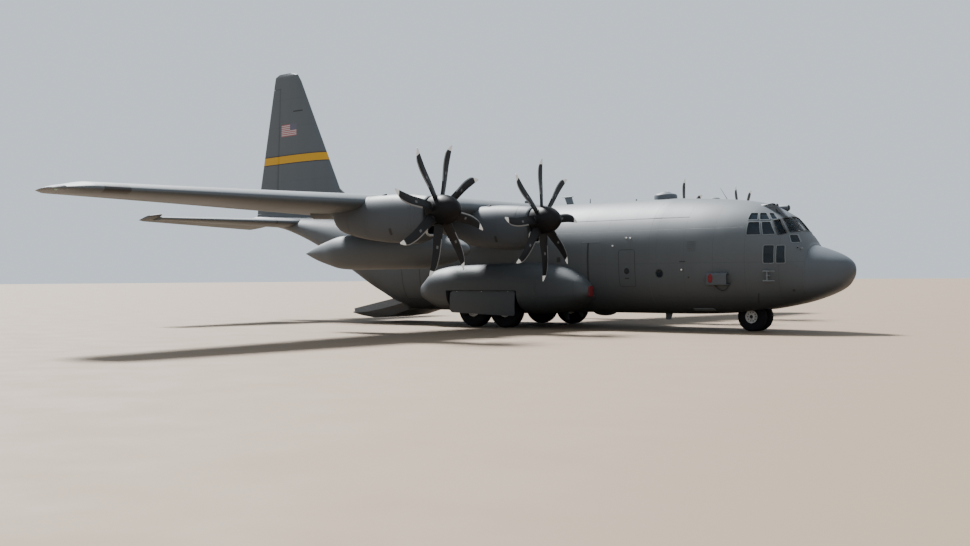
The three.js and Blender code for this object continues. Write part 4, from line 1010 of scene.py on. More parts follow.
def build_fuselage(sizes):
    """Skins as solids cut in the same way as the frame's: a full form less its hollow, its wheel
    well, its windows and its doors; each door is the wall inside its own box."""
    step = sizes.ring_step
    straight = {"floor": FLOOR_UNDER, "table": STRAIGHT_BODY, "rows": straight_rows}
    hollow = carve(body_solid(11.5, 6.7, step, -WALL, floor=FLOOR_UNDER), "hollow",
                   solid_of(block(*NOSE_WELL_WALLS)))
    wall = carve(body_solid(11.95, NOSE_END, step * 0.6), "wall", hollow)
    side_cuts, front_cuts = Form(), Form()
    screen, centre = (rounded(FRONT_WINDOWS[name], CORNER, 40) for name in ("screen", "centre"))
    for _, side in SIDES:
        for outline in SIDE_WINDOWS.values():
            side_cuts.add(prism(rounded(outline, CORNER, 40), 0.5, 2.4), side=side)
        front_cuts.add(prism(screen, 10.5, 12.2, "x"), side=side)
    front_cuts.add(prism(centre, 10.5, 12.2, "x"))
    x, z, radius = ROUND_WINDOW
    side_cuts.add(bar((x, -1.0, z), (x, -3.0, z), radius, 32))
    nose = carve(wall.copy(), "nose_skin", solid_of(block(*NOSE_WELL)), side_cuts.mesh("side_cuts"),
                 front_cuts.mesh("front_cuts"), solid_of(door_box(CREW_DOOR)))
    put_skin("nose_skin", nose, "body", "airframe", "nose_shell")
    door = carve(wall, "crew_door_skin", solid_of(door_box(CREW_DOOR, RUN_GAP)),
                 operation="INTERSECT")
    put_skin("crew_door_skin", door, "panel", "crew_door", "crew_door")

    tip = 13.23 - (13.23 - 11.952) * np.linspace(0, 1, 30) ** 1.8
    radome = solid_of(tube(body_rings(tip, table=RADOME_TABLE)))
    put("radome_skin", radome, ["radome"], replaces=["radome"], sharp=50)

    wall = carve(body_solid(NOSE_END, CENTRE_END, 0.6), "wall",
                 body_solid(7.2, -5.3, 0.6, -WALL, **straight))
    openings = Form()
    for _, side in SIDES:
        openings.add(door_box(SIDE_DOOR), side=side)
    put_skin("centre_skin", carve(wall.copy(), "centre_skin", openings.mesh("openings")), "body",
             "airframe", "centre_fuselage")
    for name, side in SIDES:
        box = solid_of(door_box(SIDE_DOOR, SIDE_DOOR_GAP), side=side)
        door = carve(wall.copy(), f"side_door_{name}", box, operation="INTERSECT")
        put_skin(f"side_door_{name}", door, "panel", "airframe", f"paratroop_door_{name}")

    opening = carve(solid_of(prism(RAMP_PLAN, 0, 5, "z")), "opening",
                    solid_of(prism(RAMP_PROFILE, -2, 2)), operation="INTERSECT")
    aft = carve(body_solid(CENTRE_END, -16.56, step), "aft_skin",
                body_solid(-4.8, DOOR_LINE, step, -WALL), opening)
    put_skin("aft_skin", aft, "body", "airframe", "aft_fuselage")


def build_windows(sizes):
    """A pane in each window, a little under the skin, and a flat raised frame round it."""
    panes, frames = Form(), Form()
    for name, outline, place in window_outlines():
        clear = int(name.startswith(("centre", "screen", "quarter")))
        panes.add(pane(widened(outline, 0.004), place, -sizes.glass_depth), clear)
        frames.add(frame_strip(widened(outline, sizes.frame_width * 0.45), place,
                               sizes.frame_width, sizes.frame_height), clear)
    x, z, radius = ROUND_WINDOW
    circle = circle_outline((x, z), radius, 48)
    panes.add(pane(circle, on_side(-1), -sizes.glass_depth))
    frames.add(frame_strip(widened(circle, 0.012), on_side(-1), 0.022, 0.004), 1)
    put("cockpit_panes", panes, ["glass", "clear glass"],
        replaces=["cockpit_glazing"], sharp=40)
    put("cockpit_frames", frames, ["window frame", "seal"], sharp=40)


def rectangle(x0, x1, z0, z1, radius=0.06, count=72):
    """A rounded rectangle from its edges."""
    return rounded([[x0, z0], [x1, z0], [x1, z1], [x0, z1]], radius, count)


# Seams drawn round doors and hatches: side, then the outline's edges in x and z and corner radius.
SEAMS = (
    (-1, 5.65, 6.30, 1.53, 2.81, 0.10), (1, 5.65, 6.30, 1.53, 2.81, 0.10),
    (-1, -4.69, -3.72, 1.04, 2.91, 0.08), (1, -4.69, -3.72, 1.04, 2.91, 0.08),
    (1, 8.53, 9.33, 1.02, 2.20, 0.08),
)
STRIP_X = 4.365
SKIN_LAMPS = ((5.93, 3.23), (6.09, 3.22), (5.40, 2.96), (8.09, 2.10))
# Small dark slots and dots on both sides: edges in x and z.
SKIN_SLOTS = (
    (8.01, 8.24, 2.355, 2.39), (8.30, 8.36, 1.81, 1.87), (5.88, 6.06, 1.80, 1.84),
    (11.58, 11.66, 1.36, 1.44), (3.02, 3.18, 2.42, 2.60),
)
# Air sensors low on the nose: place in x and z, and finish.
NOSE_SENSORS = ((11.69, 2.78, 1), (11.77, 2.73, 3))
# Aerials: foot in x and z, height (downwards under the belly) and half the chord.
ANTENNAS = ((0.2, 4.57, 0.34, 0.16), (-3.2, 4.57, 0.30, 0.14), (1.9, 0.60, -0.36, 0.14),
            (2.6, 0.60, -0.24, 0.10))


# Rods on the roof: foot, tip, radius, sides and radius at the tip.
ROOF_RODS = (
    ((8.77, 0, 4.50), (8.49, 0, 4.94), 0.012, 10, 0.006),
    ((3.09, 0, 4.60), (3.09, 0, 4.84), 0.022, 12, 0.014),
    ((5.11, 0, 4.60), (5.11, 0, 4.72), 0.035, 14, 0.025),
)
DOME_EDGE = ((4.94, 0), (4.937, 0.06), (4.92, 0.14), (4.885, 0.21), (4.862, 0.25), (4.853, 0.31),
             (4.84, 0.365), (4.81, 0.40), (4.76, 0.415), (4.4, 0.415), (4.4, 0))
POD_PROFILE = ((10.80, 0), (10.80, 0.085), (10.78, 0.105), (10.70, 0.11), (10.25, 0.105),
               (10.12, 0.06), (10.05, 0.0))
POD_LENS = ((10.798, 0), (10.802, 0.088), (10.812, 0.07), (10.82, 0))
POD_Y, POD_Z = 0.46, 4.17
MAST_X, MAST_Z = 10.94, (1.71, 2.02)


def blade_aerial(x, z, height, chord):
    """A blade aerial: lens-shaped rings that shrink and lean back as they rise."""
    up = np.linspace(0, 1, 6)[:, None]
    size, angle = chord * (1 - 0.45 * up**2), around(20)
    return tube(joined(x - 0.35 * height * up + size * np.cos(angle), 0.16 * size * np.sin(angle),
                       z + height * up))


def seam_band(rings, x, half, height):
    """A thin band round a form at x, from its rings there a little under and over its skin."""
    ends = np.array([x - half, x + half])
    inner, out = rings(ends, -SINK), rings(ends, height)
    return ring_tube(np.stack([inner[0], out[0], out[1], inner[1]], 1))


def skin_marks(sizes):
    """Forms of the seams, lamps, and vents with slots and the round pane's patch, on the skin."""
    seams, vents, lamps = Form(), Form(), Form()
    for side, *edges in SEAMS:
        seams.add(frame_strip(rectangle(*edges), on_side(side), sizes.seam_width, 0.003))
    for x in (11.93, NOSE_END, CENTRE_END):
        seams.add(seam_band(body_rings, x, 0.006, 0.001), 1)
    for _, side in SIDES:
        place = on_side(side)
        strip = rectangle(STRIP_X - 0.035, STRIP_X + 0.035, 1.56, 3.10, 0.03)
        seams.add(pane(strip, place, 0.004))
        seams.add(pane(rectangle(3.63, 8.17, 3.875, 3.895, 0.008, 400), place, 0.003), 1)
        seams.add(pane(rectangle(4.09, 4.82, 3.10, 3.125, 0.01, 80), place, 0.005), 2)
        for z in 2.72 + 0.072 * np.arange(5):
            vents.add(pane(rectangle(8.28, 8.60, z, z + 0.035, 0.012, 32), place, 0.006), 2)
        for edges in SKIN_SLOTS:
            vents.add(pane(rectangle(*edges, 0.03, 32), place, 0.004))
        slot = rounded([[10.42, 0.98], [10.46, 0.98], [10.58, 1.31], [10.54, 1.31]], 0.02, 40)
        vents.add(pane(slot, place, 0.004))
        vents.add(pane(circle_outline((5.97, 2.07), 0.105, 40), place, 0.006), 1)
        for x, z in SKIN_LAMPS:
            centre = side_point(x, z, side, -0.01)
            lamps.add(bar(centre, centre + 0.035 * body_normal(centre), 0.026, 14))
        for x, z, kind in NOSE_SENSORS:
            centre = side_point(x, z, side, -0.01)
            out = centre + 0.07 * body_normal(centre)
            lamps.add(bar(centre, out, 0.018, 12), kind)
            lamps.add(bar(out - (0.02, 0, 0), out + (0.05, 0, 0), 0.014, 10, 0.008), kind)
    lamps.add(turned([[0, 0], [0, 0.09], [0.07, 0.07], [0.11, 0]], (0.9, 0, 0.465), "z", 20), 2)
    return seams, lamps, vents


def put_aerials():
    """Aerials and rods, the low dome on the roof, the belly fairing and a strip by the door."""
    aerials = Form()
    for entry in ANTENNAS:
        aerials.add(blade_aerial(*entry))
    aerials.add(turned([[4.45, 0.0], [4.45, 0.19], [4.58, 0.18], [4.615, 0.12], [4.62, 0.0]],
                       (8.28, 0, 0), "z", 32))
    for rod in ROOF_RODS:
        aerials.add(bar(*rod))
    put("aerials", aerials, ["panel"], sharp=40)

    fittings = Form().add(turned(DOME_EDGE, (6.33, 0, 0), "z", 48))
    for outline, half in (([[2.37, 4.55], [2.08, 4.55], [1.92, 4.95], [2.24, 4.95]], 0.025),
                          ([[6.62, 0.66], [6.30, 0.66], [6.32, 0.33], [6.50, 0.33]], 0.022)):
        fittings.add(prism(rounded(outline, 0.03, 32), -half, half), 1)
    fittings.add(block((1.80, 2.29), (-0.06, 0.06), (4.945, 4.965), 0.006), 1)
    angle = np.linspace(0, np.pi, 20)
    profile = np.column_stack([3.73 + 0.46 * np.cos(angle), 0.38 * np.sin(angle)])
    vertices, faces = turned(profile, (0, 0, 0), "x", 32)
    fittings.add((vertices * (1, 1, 0.45) + (0, 0, 0.60), faces))
    fittings.add(pane(rectangle(8.14, 8.90, 0.72, 0.79, 0.03, 80), on_side(-1), 0.02, 0.04), 1)
    put("body_fittings", fittings, ["radome", "window frame"], sharp=40)


def put_masts():
    """The pitot masts: two tubes on each side, on struts from a common foot."""
    masts = Form()
    low, high = MAST_Z
    for _, side in SIDES:
        foot = side_point(MAST_X, 1.87, side, -0.02)
        out = foot + (0, side * 0.20, 0)
        masts.add(bar(foot, out, 0.035, 14))
        for z in MAST_Z:
            y = side_point(MAST_X, z, side)[1] - side * 0.02
            masts.add(bar((10.80, out[1], z), (11.20, out[1], z), 0.028, 12, 0.014))
            masts.add(bar((10.92, y, z), (10.92, out[1], z), 0.020, 10))
        masts.add(bar((MAST_X, out[1], low), (MAST_X, out[1], high), 0.022, 10))
    put("pitot_masts", masts, ["window frame"])


def put_scoop_and_pods():
    """The air scoop with its tied cover, and the sensor pods in front of the windscreen."""
    outline = [[-1.75, 1.57], [-2.10, 1.58], [-2.10, 1.93], [-2.06, 1.98], [-1.75, 1.98]]
    middle = np.array([-1.90, 1.78])
    shape = rounded(outline, 0.025, 48) - middle
    rings = [np.insert(middle + shape * size, 0, x, axis=1)
             for x, size in ((9.50, 0.84), (9.715, 0.84), (9.72, 0.98), (9.70, 1.0), (9.04, 1.0),
                             (9.00, 0.97), (8.99, 0.8))]
    # The dark plate at the back of the scoop's mouth is painted shade standing for the dark inside
    # of the opening.
    scoop = Form().add(tube(rings)).add(prism(middle + shape * 0.83, 9.505, 9.53, "x"), 1)
    put("air_scoop", scoop, ["panel", "dark"])
    disc = circle_outline((0, 0), 1, 40) * (0.085, 0.15)
    rings = [np.insert(disc * size + (9.15, 1.80), 1, y, axis=1) for y, size in (
        (-2.09, 1.0), (-2.115, 0.96), (-2.122, 0.8))]
    t = np.linspace(0, np.pi, 40)
    strap = side_point(9.16 + 0.58 * t / np.pi, 1.66 - 0.26 * np.sin(t), -1, 0.03)
    put("scoop_cover", Form().add(tube(rings)).add(pipe(strap, 0.014, 8), 1), ["cover", "seal"])

    pods = Form()
    foot = [[10.78, 3.9], [10.72, 4.14], [10.12, 4.2], [9.85, 4.2]]
    for _, side in SIDES:
        place = (0, side * POD_Y, POD_Z)
        pods.add(turned(POD_PROFILE, place, "x", 28))
        pods.add(prism(foot, side * POD_Y - 0.05, side * POD_Y + 0.05))
        pods.add(turned(POD_LENS, place, "x", 24), 1)
    wedge = [[10.80, 3.90], [10.74, 4.27], [10.66, 4.29], [10.05, 4.17], [10.05, 3.9]]
    slant = [[10.66, 4.22], [10.74, 4.27], [11.13, 3.84], [11.08, 3.78]]
    pods.add(prism(rounded(wedge, 0.03, 40), -0.56, -0.38))
    pods.add(prism(rounded(slant, 0.015, 40), -0.56, -0.41), 2)
    put("sensor_pods", pods, ["panel", "glass", "radome"], sharp=40)


def build_skin_details(sizes):
    """Everything small on the fuselage: what lies on the skin and what stands out from it."""
    seams, lamps, vents = skin_marks(sizes)
    put("skin_seams", seams, ["seal", "faint seam", "window frame"])
    put_aerials()
    put("skin_lamps", lamps, ["lamp", "seal", "red lamp", "window frame"])
    put("skin_vents", vents, ["seal", "glass", "faint seam"])
    put_masts()
    put_scoop_and_pods()


# ---- wing and tail

WING_STEP = 0.9


def mirrored_rows(table, keys):
    """Rows of a table at the distance from the middle, with the signed key put back."""
    rows = rows_at(table, np.abs(keys))
    rows[:, 0] = keys
    return rows


def put_both(name, make, materials, node, body="airframe", sharp=30):
    """A left piece and its mirror image, each on its own body and standing for its own node."""
    for side_name, side in SIDES:
        form = Form()
        make(form, side)
        put(f"{name}_{side_name}", form, materials, body.format(side_name),
            replaces=[node.format(side_name)], sharp=sharp)



def add_brackets(form, rows, hinge, camber=0.0, side=1, upright=False):
    """Short bars that join a spar to the round nose of the piece hinged behind it."""
    for row, part in zip(rows, np.broadcast_to(hinge, len(rows))):
        y, edge_x, edge_z, chord, tilt, ratio = row
        slope = math.tan(math.radians(tilt))
        up = camber_line(part, camber) * chord
        nose = part * chord - half_thickness(part, ratio) * chord * NOSE_FILL
        ends = [[edge_x - b, y, edge_z + up - b * slope] for b in (nose - 0.06, nose + 0.01)]
        if upright:
            ends = [[x, 0.0, z] for x, z, _ in ends]
        form.add(bar(*ends, 0.035, 12), side=side)


WING_JOINT_GAP = 0.0003
WING_TIP_KEYS = (19.55, 19.65, 19.75, 19.85, 19.95, 20.03, 20.10, 20.15, 20.18, 20.205)
LAMP_PROFILE = ((0.50, 0), (0.46, 0.035), (0.20, 0.05), (0.05, 0.03), (0.0, 0))


def build_wing():
    """The wing's boxes, tips, flaps and ailerons as sections carried along the span."""
    end = WING_JOINT_Y - WING_JOINT_GAP
    rows = mirrored_rows(WING_TABLE, np.linspace(-end, end, 13))
    form = Form().add(tube(wing_section(rows, FLAP_START, FLAP_START, WING_CAMBER)))
    rows = rows_at(WING_TABLE, [2.9, 4.9])
    for _, side in SIDES:
        add_brackets(form, rows, hinge_part(rows, FLAP_START), WING_CAMBER, side)
    put("wing_centre_skin", form, ["wing"], replaces=["wing_center"], sharp=30)

    def outer(form, side):
        """The box of an outer wing, its tip, its brackets and the lamp on its tip."""
        flaps = steps_between(WING_JOINT_Y + WING_JOINT_GAP, FLAP_TIP_Y, WING_STEP)
        ailerons = steps_between(FLAP_TIP_Y, AILERON_TIP_Y, WING_STEP)
        keys = np.concatenate([flaps, ailerons, WING_TIP_KEYS])
        index = np.arange(len(keys))
        part = np.where(index < len(flaps) + 1, FLAP_START, AILERON_START)
        to = np.where(index < len(flaps), FLAP_START,
                      np.where(index < len(flaps) + len(ailerons), AILERON_START, 1.0))
        form.add(tube(wing_section(rows_at(WING_TABLE, keys), part, to, WING_CAMBER)), side=side)
        for places, start in (((6.6, 9.2, 11.8), FLAP_START), ((13.6, 16.2, 18.8), AILERON_START)):
            rows = rows_at(WING_TABLE, places)
            add_brackets(form, rows, hinge_part(rows, start), WING_CAMBER, side)
        form.add(turned(LAMP_PROFILE, (0, 20.10, 4.21), "x", 16), 1, side=side)

    put_both("wing_outer_skin", outer, ["wing", "green lamp"], "wing_outer_{}")

    for name, y0, y1, start in (
            ("flap_inner", FLAP_ROOT_Y, WING_JOINT_Y - RUN_GAP, FLAP_START),
            ("flap_outer", WING_JOINT_Y + RUN_GAP, FLAP_TIP_Y - 0.085, FLAP_START),
            ("aileron", FLAP_TIP_Y + RUN_GAP, AILERON_TIP_Y - RUN_GAP, AILERON_START)):
        rows = rows_at(WING_TABLE, steps_between(y0, y1, WING_STEP))
        chunk = tube(hinged_section(rows, hinge_part(rows, start), WING_CAMBER))
        put_both(f"{name}_skin", lambda form, side: form.add(chunk, side=side), ["wing"],
                 name + "_{}", name + "_{}")


def elevator_part(rows):
    """Where the elevator's hinge line crosses the chord."""
    return (rows[:, 1] - ELEVATOR_HINGE[0]) / rows[:, 3]


def spar_end(rows, hinge):
    """Where the fixed part ends, so that the round nose on the hinge line clears it."""
    return hinge - RUN_GAP / rows[:, 3] - NOSE_FILL * half_thickness(hinge, rows[:, 5])


RUDDER_SPAN = (5.05, 10.95)
ELEVATOR_SPAN = (1.42, 7.62)
ELEVATOR_TIP_KEYS = (7.612, 7.70, 7.8, 7.9, 7.96, 8.0, 8.025)
FIN_FOOT_Z = 4.64
FIN_TIP_KEYS = (11.2, 11.3, 11.42, 11.54, 11.6, 11.64, 11.66)
# The fillet before the fin: its crest in x and z, and the places of its rings.
FILLET_CREST = ((-12.0, 6.2), (-10.62, 6.1), (-9.4, 5.25), (-7.2, 4.66))
FILLET_KEYS = (-7.2, -8.3, -9.4, -10.0, -10.62, -11.2, -12.0)
FILLET_FOOT_Z = 4.55


def droop(chunk):
    """A chunk turned down about the elevator's hinge line: its places along and up from the line
    times the cosine and sine of the angle."""
    vertices, faces = chunk
    c, s = (way(math.radians(ELEVATOR_DROOP)) for way in (math.cos, math.sin))
    x, z = ELEVATOR_HINGE
    dx, dz = vertices[:, 0] - x, vertices[:, 2] - z
    return joined(x + dx * c - dz * s, vertices[:, 1], z + dx * s + dz * c), faces


def stand(chunk):
    """A section carried along Y turned so that it is carried along Z."""
    vertices, faces = chunk
    return vertices[:, [0, 2, 1]], faces


def fin_rows(keys):
    """Rows of the fin in the wing's form: height, leading edge, chord and thickness ratio."""
    z, front, rear, ratio = rows_at(FIN_TABLE, keys).T
    return np.column_stack([z, front, 0 * z, front - rear, 0 * z, ratio])


def fin_hinge(rows):
    """Where the rudder's leaning hinge line crosses the chord."""
    (x0, z0), (x1, z1) = RUDDER_AXIS
    line = x0 + (x1 - x0) * (rows[:, 0] - z0) / (z1 - z0)
    return (rows[:, 1] - line) / rows[:, 3]


def build_tail():
    """The tailplane and elevators, and the fin and rudder, from the same sections stood upright."""
    rows = mirrored_rows(TAILPLANE_TABLE, np.linspace(-7.60, 7.60, 25))
    to = spar_end(rows, elevator_part(rows))
    form = Form().add(tube(wing_section(rows, to, to)))
    rows = rows_at(TAILPLANE_TABLE, [2.0, 4.5, 7.0])
    for _, side in SIDES:
        add_brackets(form, rows, elevator_part(rows), side=side)
    put("tailplane_skin", form, ["wing"], replaces=["tailplane"], sharp=30)

    def elevator(form, side):
        """An elevator with the horn that makes the tailplane's tip."""
        rows = rows_at(TAILPLANE_TABLE, steps_between(*ELEVATOR_SPAN, 0.7))
        form.add(droop(tube(hinged_section(rows, elevator_part(rows)))), side=side)
        rows = rows_at(TAILPLANE_TABLE, ELEVATOR_TIP_KEYS)
        form.add(droop(tube(wing_section(rows, 0.6, 1.0))), side=side)

    put_both("elevator_skin", elevator, ["wing"], "elevator_{}", "elevator_{}")

    low, high = RUDDER_SPAN[0] - RUN_GAP, RUDDER_SPAN[1] + RUN_GAP
    beside = steps_between(low, high, 0.5)
    keys = np.concatenate([[FIN_FOOT_Z, low], beside, [high], FIN_TIP_KEYS])
    rows = fin_rows(keys)
    part = spar_end(rows, fin_hinge(rows))
    index = np.arange(len(keys))
    to = np.where((index > 1) & (index < 2 + len(beside)), part, 1.0)
    form = Form().add(stand(tube(wing_section(rows, part, to))))
    rows = fin_rows([5.6, 8.0, 10.4])
    add_brackets(form, rows, fin_hinge(rows), upright=True)
    along = np.array(FILLET_KEYS)[:, None]
    top = np.interp(along, *zip(*FILLET_CREST))
    wide = 0.12 * np.interp(along, [-8.5, -7.2], [1.0, 0.5])
    c, s = np.cos(around(32)), np.maximum(np.sin(around(32)), 0)
    form.add(tube(joined(along, wide * c, FILLET_FOOT_Z + (top - FILLET_FOOT_Z) * s)))
    put("fin_skin", form, ["fin"], replaces=["fin"], sharp=30)
    rows = fin_rows(steps_between(*RUDDER_SPAN, 0.5))
    form = Form().add(stand(tube(hinged_section(rows, fin_hinge(rows)))))
    put("rudder_skin", form, ["fin"], "rudder", replaces=["rudder"], sharp=30)


# ---- engines


NACELLE_POWER = 0.85


def nacelle_rings(xs, grow=0.0, points=56):
    """Rings of a nacelle about the propeller axis: cosine and sine raised to a power under one."""
    top, bottom, half = columns(NACELLE_TABLE, xs)[..., None]
    c, s = (powered(way(around(points)), NACELLE_POWER) for way in (np.cos, np.sin))
    return joined(np.asarray(xs)[:, None], (half + grow) * c,
                  (top + bottom) / 2 + ((top - bottom) / 2 + grow) * s)



INTAKE = rounded([[-0.30, -0.44], [0.30, -0.44], [0.24, -0.72], [-0.24, -0.72]], 0.09, 56)


def nacelle_side(side):
    """The surface of a nacelle's side, as a function of x, z and a height: its half width times the
    power curve of its rings."""

    def place(x, z, out):
        """The point at x and z on the side, moved outwards by the height."""
        top, bottom, half = columns(NACELLE_TABLE, x)
        up = np.clip(np.abs(z - (top + bottom) / 2) / ((top - bottom) / 2), 0, 1)
        wide = half * (1 - up ** (2 / NACELLE_POWER)) ** (NACELLE_POWER / 2)
        return np.stack([x, side * (wide + out), z], -1)
    return place


EXHAUST = rounded([[-0.19, -0.03], [0.19, -0.03], [0.19, 0.20], [-0.19, 0.20]], 0.06, 40)


def build_nacelles():
    """Each nacelle is a smooth body less its chin intake and exhaust, with a pale lip round the
    intake, a burnt liner in the exhaust and thin seams round its cowling doors."""
    xs = np.concatenate([[4.10, 4.09, 4.06], steps_between(4.0, -1.06, 0.12)])
    rings = nacelle_rings(xs)
    for k, size in ((0, 0.93), (1, 0.97)):
        middle = rings[k].mean(0)
        rings[k] = middle + (rings[k] - middle) * size
        rings[k, :, 0] = xs[k]
    for name, y, z, _ in ENGINES:
        move = (0, y, z)
        intake = solid_of(prism(INTAKE, 3.42, 4.3, "x"), move)
        exhaust = solid_of(prism(EXHAUST, -1.2, -0.65, "x"), move)
        mesh = carve(solid_of(tube(rings), move), f"nacelle_skin_{name}", intake, exhaust)
        put(f"nacelle_skin_{name}", mesh, ["nacelle"], replaces=[f"nacelle_{name}"], sharp=30)
        lip = np.insert(widened(INTAKE, 0.02), 0, 4.10, axis=1)
        liner = [np.insert(widened(EXHAUST, grow), 0, x, axis=1) for x, grow in (
            (-1.09, -0.004), (-1.09, -0.03), (-0.70, -0.03), (-0.70, -0.004))]
        fittings = Form().add(pipe(lip, 0.038, 12, closed=True), 0, move)
        fittings.add(ring_tube(np.stack(liner, 1)), 1, move)
        # The dark plate at the back of the intake is painted shade standing for the deep dark
        # inside of the intake.
        fittings.add(prism(widened(INTAKE, -0.01), 3.44, 3.46, "x"), 2, move)
        for x in (3.62, 1.75, 0.92):
            fittings.add(seam_band(nacelle_rings, x, 0.009, 0.003), 4, move)
        fittings.add(turned([[0.0, 0], [0.0, 0.035], [-0.03, 0.045], [-0.20, 0.0]],
                            (2.35, -0.18, 0.555), "x", 16), 3, move)
        for _, side in SIDES:
            mark = rectangle(2.78, 2.88, -0.71, -0.51, 0.02, 40)
            fittings.add(pane(mark, nacelle_side(side), 0.004), 3, move)
        put(f"nacelle_fittings_{name}", fittings, ["lip", "exhaust", "dark", "seal", "faint seam"],
            sharp=45)


BLADE_TIP_PARTS = (0.91, 0.94, 0.96, 0.975, 0.987, 0.995, 1.0)


def blade_chunk(phase):
    """One blade: lens-like sections carried along the radius; each is turned by its pitch, moved
    by its sweep, and the whole blade is then turned round the axis by its phase."""
    part = np.concatenate([np.linspace(0.18, 0.88, 21), BLADE_TIP_PARTS])
    chord, thick, pitch, sweep = columns(BLADE_TABLE, part)[..., None]
    w = (1 - np.cos(np.linspace(0, np.pi, 12))) / 2
    v = 0.5 * np.sin(np.pi * w**0.65)
    u = np.concatenate([0.5 - w, (0.5 - w)[::-1][1:-1]])
    v = np.concatenate([v, -v[::-1][1:-1]])
    along, across = u * chord + sweep, v * thick
    c, s = np.cos(np.radians(pitch)), np.sin(np.radians(pitch))
    x, y = along * s + across * c, across * s - along * c
    z = part[:, None] * PROPELLER_RADIUS
    a = math.radians(phase)
    return tube(joined(x, y * math.cos(a) + z * math.sin(a), z * math.cos(a) - y * math.sin(a)))


def mark_blades(mesh, centre, phase):
    """Gives each corner its part of the radius and its place along the chord, 1 at the leading
    edge, worked out from its place in the blade it belongs to."""
    x, y, z = (full_points(mesh) - centre).T
    turn = np.degrees(np.arctan2(y, z)) - phase
    a = np.radians(phase + np.round(turn / (360 / BLADES)) * 360 / BLADES)
    across, radius = y * np.cos(a) - z * np.sin(a), y * np.sin(a) + z * np.cos(a)
    part = np.clip(radius / PROPELLER_RADIUS, 0.18, 1.0)
    chord, _, pitch, sweep = columns(BLADE_TABLE, part)
    along = x * np.sin(np.radians(pitch)) - across * np.cos(np.radians(pitch))
    for name, values in (("span", part), ("chord", (along - sweep) / chord + 0.5)):
        layer = mesh.attributes.new(name, "FLOAT", "POINT")
        layer.data.foreach_set("value", values.astype(np.float32))


def build_propellers():
    """Eight curved blades, a rounded spinner with a dark collar round each root, and the shaft."""
    xs = 0.74 - 0.89 * np.linspace(0, 1, 24) ** 2
    profile = np.vstack([np.column_stack([xs, smooth_rows(SPINNER_TABLE, xs)]),
                         [[-0.25, 0.445], [-0.26, 0.43], [-0.26, 0.0]]])
    for name, y, z, phase in ENGINES:
        centre = np.array([PROPELLER_X, y, z])
        turns = phase + 360 * np.arange(BLADES) / BLADES
        blades, spinner = Form(), Form().add(turned(profile, centre, "x", 56))
        spinner.add(bar(centre - (0.7, 0, 0), centre - (0.2, 0, 0), 0.12, 24), 1)
        for turn in turns:
            blades.add(blade_chunk(turn), move=centre)
            out = np.array([0, math.sin(math.radians(turn)), math.cos(math.radians(turn))])
            spinner.add(bar(centre + 0.36 * out, centre + 0.475 * out, 0.085, 20), 1)
        mesh = blades.mesh(f"blades_{name}")
        mark_blades(mesh, centre, phase)
        body = f"propeller_{name}"
        put(f"blades_{name}", mesh, ["blade"], body, [body], 50)
        put(f"spinner_{name}", spinner, ["spinner", "dark"], body)


PYLON_TABLE = ((3.2, 1.75, 0, 3.65, 0, 0.062), (3.5, 1.61, 0, 3.25, 0, 0.07),
               (3.8, 1.47, 0, 2.80, 0, 0.078), (4.15, 1.30, 0, 2.40, 0, 0.09))


def build_tanks():
    """Each tank is turned from its profile, closely spaced at its ends, under a pylon whose section
    is an aerofoil."""
    table, place = np.array(TANK_PROFILE), (0, TANK_Y, TANK_Z)
    xs = -0.565 + 3.935 * np.cos(np.pi * np.linspace(0, 1, 70))

    def make(form, side):
        """The tank, its pylon and its two seams on one side."""
        form.add(turned(np.column_stack([xs, smooth_rows(table, xs)]), place, "x", 56), side=side)
        form.add(stand(tube(wing_section(PYLON_TABLE, 0.5, 1.0))), 0, (0, TANK_Y, 0), side)
        for x in (0.9, -1.0):
            (x0, r0), (x1, r1) = [(at, smooth_rows(table, at)[0]) for at in (x - 0.005, x + 0.005)]
            seam = [[x0, r0 - SINK], [x0, r0 + 0.001], [x1, r1 + 0.001], [x1, r1 - SINK]]
            form.add(turned_ring(seam, place, "x", 56), 1, side=side)

    put_both("tank_skin", make, ["panel", "faint seam"], "tank_{}", sharp=40)


# ---- landing gear


SPONSON_INNER_Y, SPONSON_POWER = 1.35, 0.72
MAIN_WELL_X, MAIN_WELL_Y = (-1.62, 1.76), 1.50


def build_sponsons():
    """Each sponson is a half round form along the side, less the fuselage and its wheel well."""
    xs = steps_between(4.50, -3.22, 0.14)
    under, top, outer = columns(SPONSON_TABLE, xs)[..., None]
    angle = np.linspace(-np.pi / 2, np.pi / 2, 44)
    c, s = (powered(way(angle), SPONSON_POWER) for way in (np.cos, np.sin))
    rings = joined(xs[:, None], SPONSON_INNER_Y + (outer - SPONSON_INNER_Y) * np.abs(c),
                   (under + top) / 2 + (top - under) / 2 * s)
    cover = rectangle(2.02, 2.30, 1.18, 1.56, 0.08, 48)
    middle = cover.mean(0)
    cover_rings = [np.insert(middle + (cover - middle) * size, 0, x, axis=1)
                   for x, size in ((4.49, 1.0), (4.53, 0.97), (4.54, 0.85))]
    for name, side in SIDES:
        body = body_solid(6.0, -5.0, 0.5, 0.0006, table=STRAIGHT_BODY, rows=straight_rows)
        well = solid_of(block(MAIN_WELL_X, (MAIN_WELL_Y, 3.2), (0, 1.40)), side=side)
        roof = solid_of(block(MAIN_WELL_X, (MAIN_WELL_Y, 2.70), (0, 1.65)), side=side)
        mesh = carve(solid_of(tube(rings), side=side), f"sponson_skin_{name}", body, well, roof)
        put(f"sponson_skin_{name}", mesh, ["body"], replaces=[f"sponson_{name}"], sharp=30)
        form = Form().add(tube(cover_rings), side=side)
        for x in (2.60, -2.2):
            ring = rings[int(np.argmin(np.abs(xs - x)))]
            near = ring[ring[:, 1] > 2.0]
            form.add(pipe(joined(x, near[:, 1] + 0.001, near[:, 2]), 0.006, 6), 1, side=side)
        put(f"sponson_fittings_{name}", form, ["cover", "faint seam"])



def collar(low, high, inner, outer, centre, axis="z", sides=28):
    """A flat ring about an axis, from low to high and from its inner to its outer radius."""
    profile = [[low, inner], [low, outer], [high, outer], [high, inner]]
    return turned_ring(profile, centre, axis, sides)


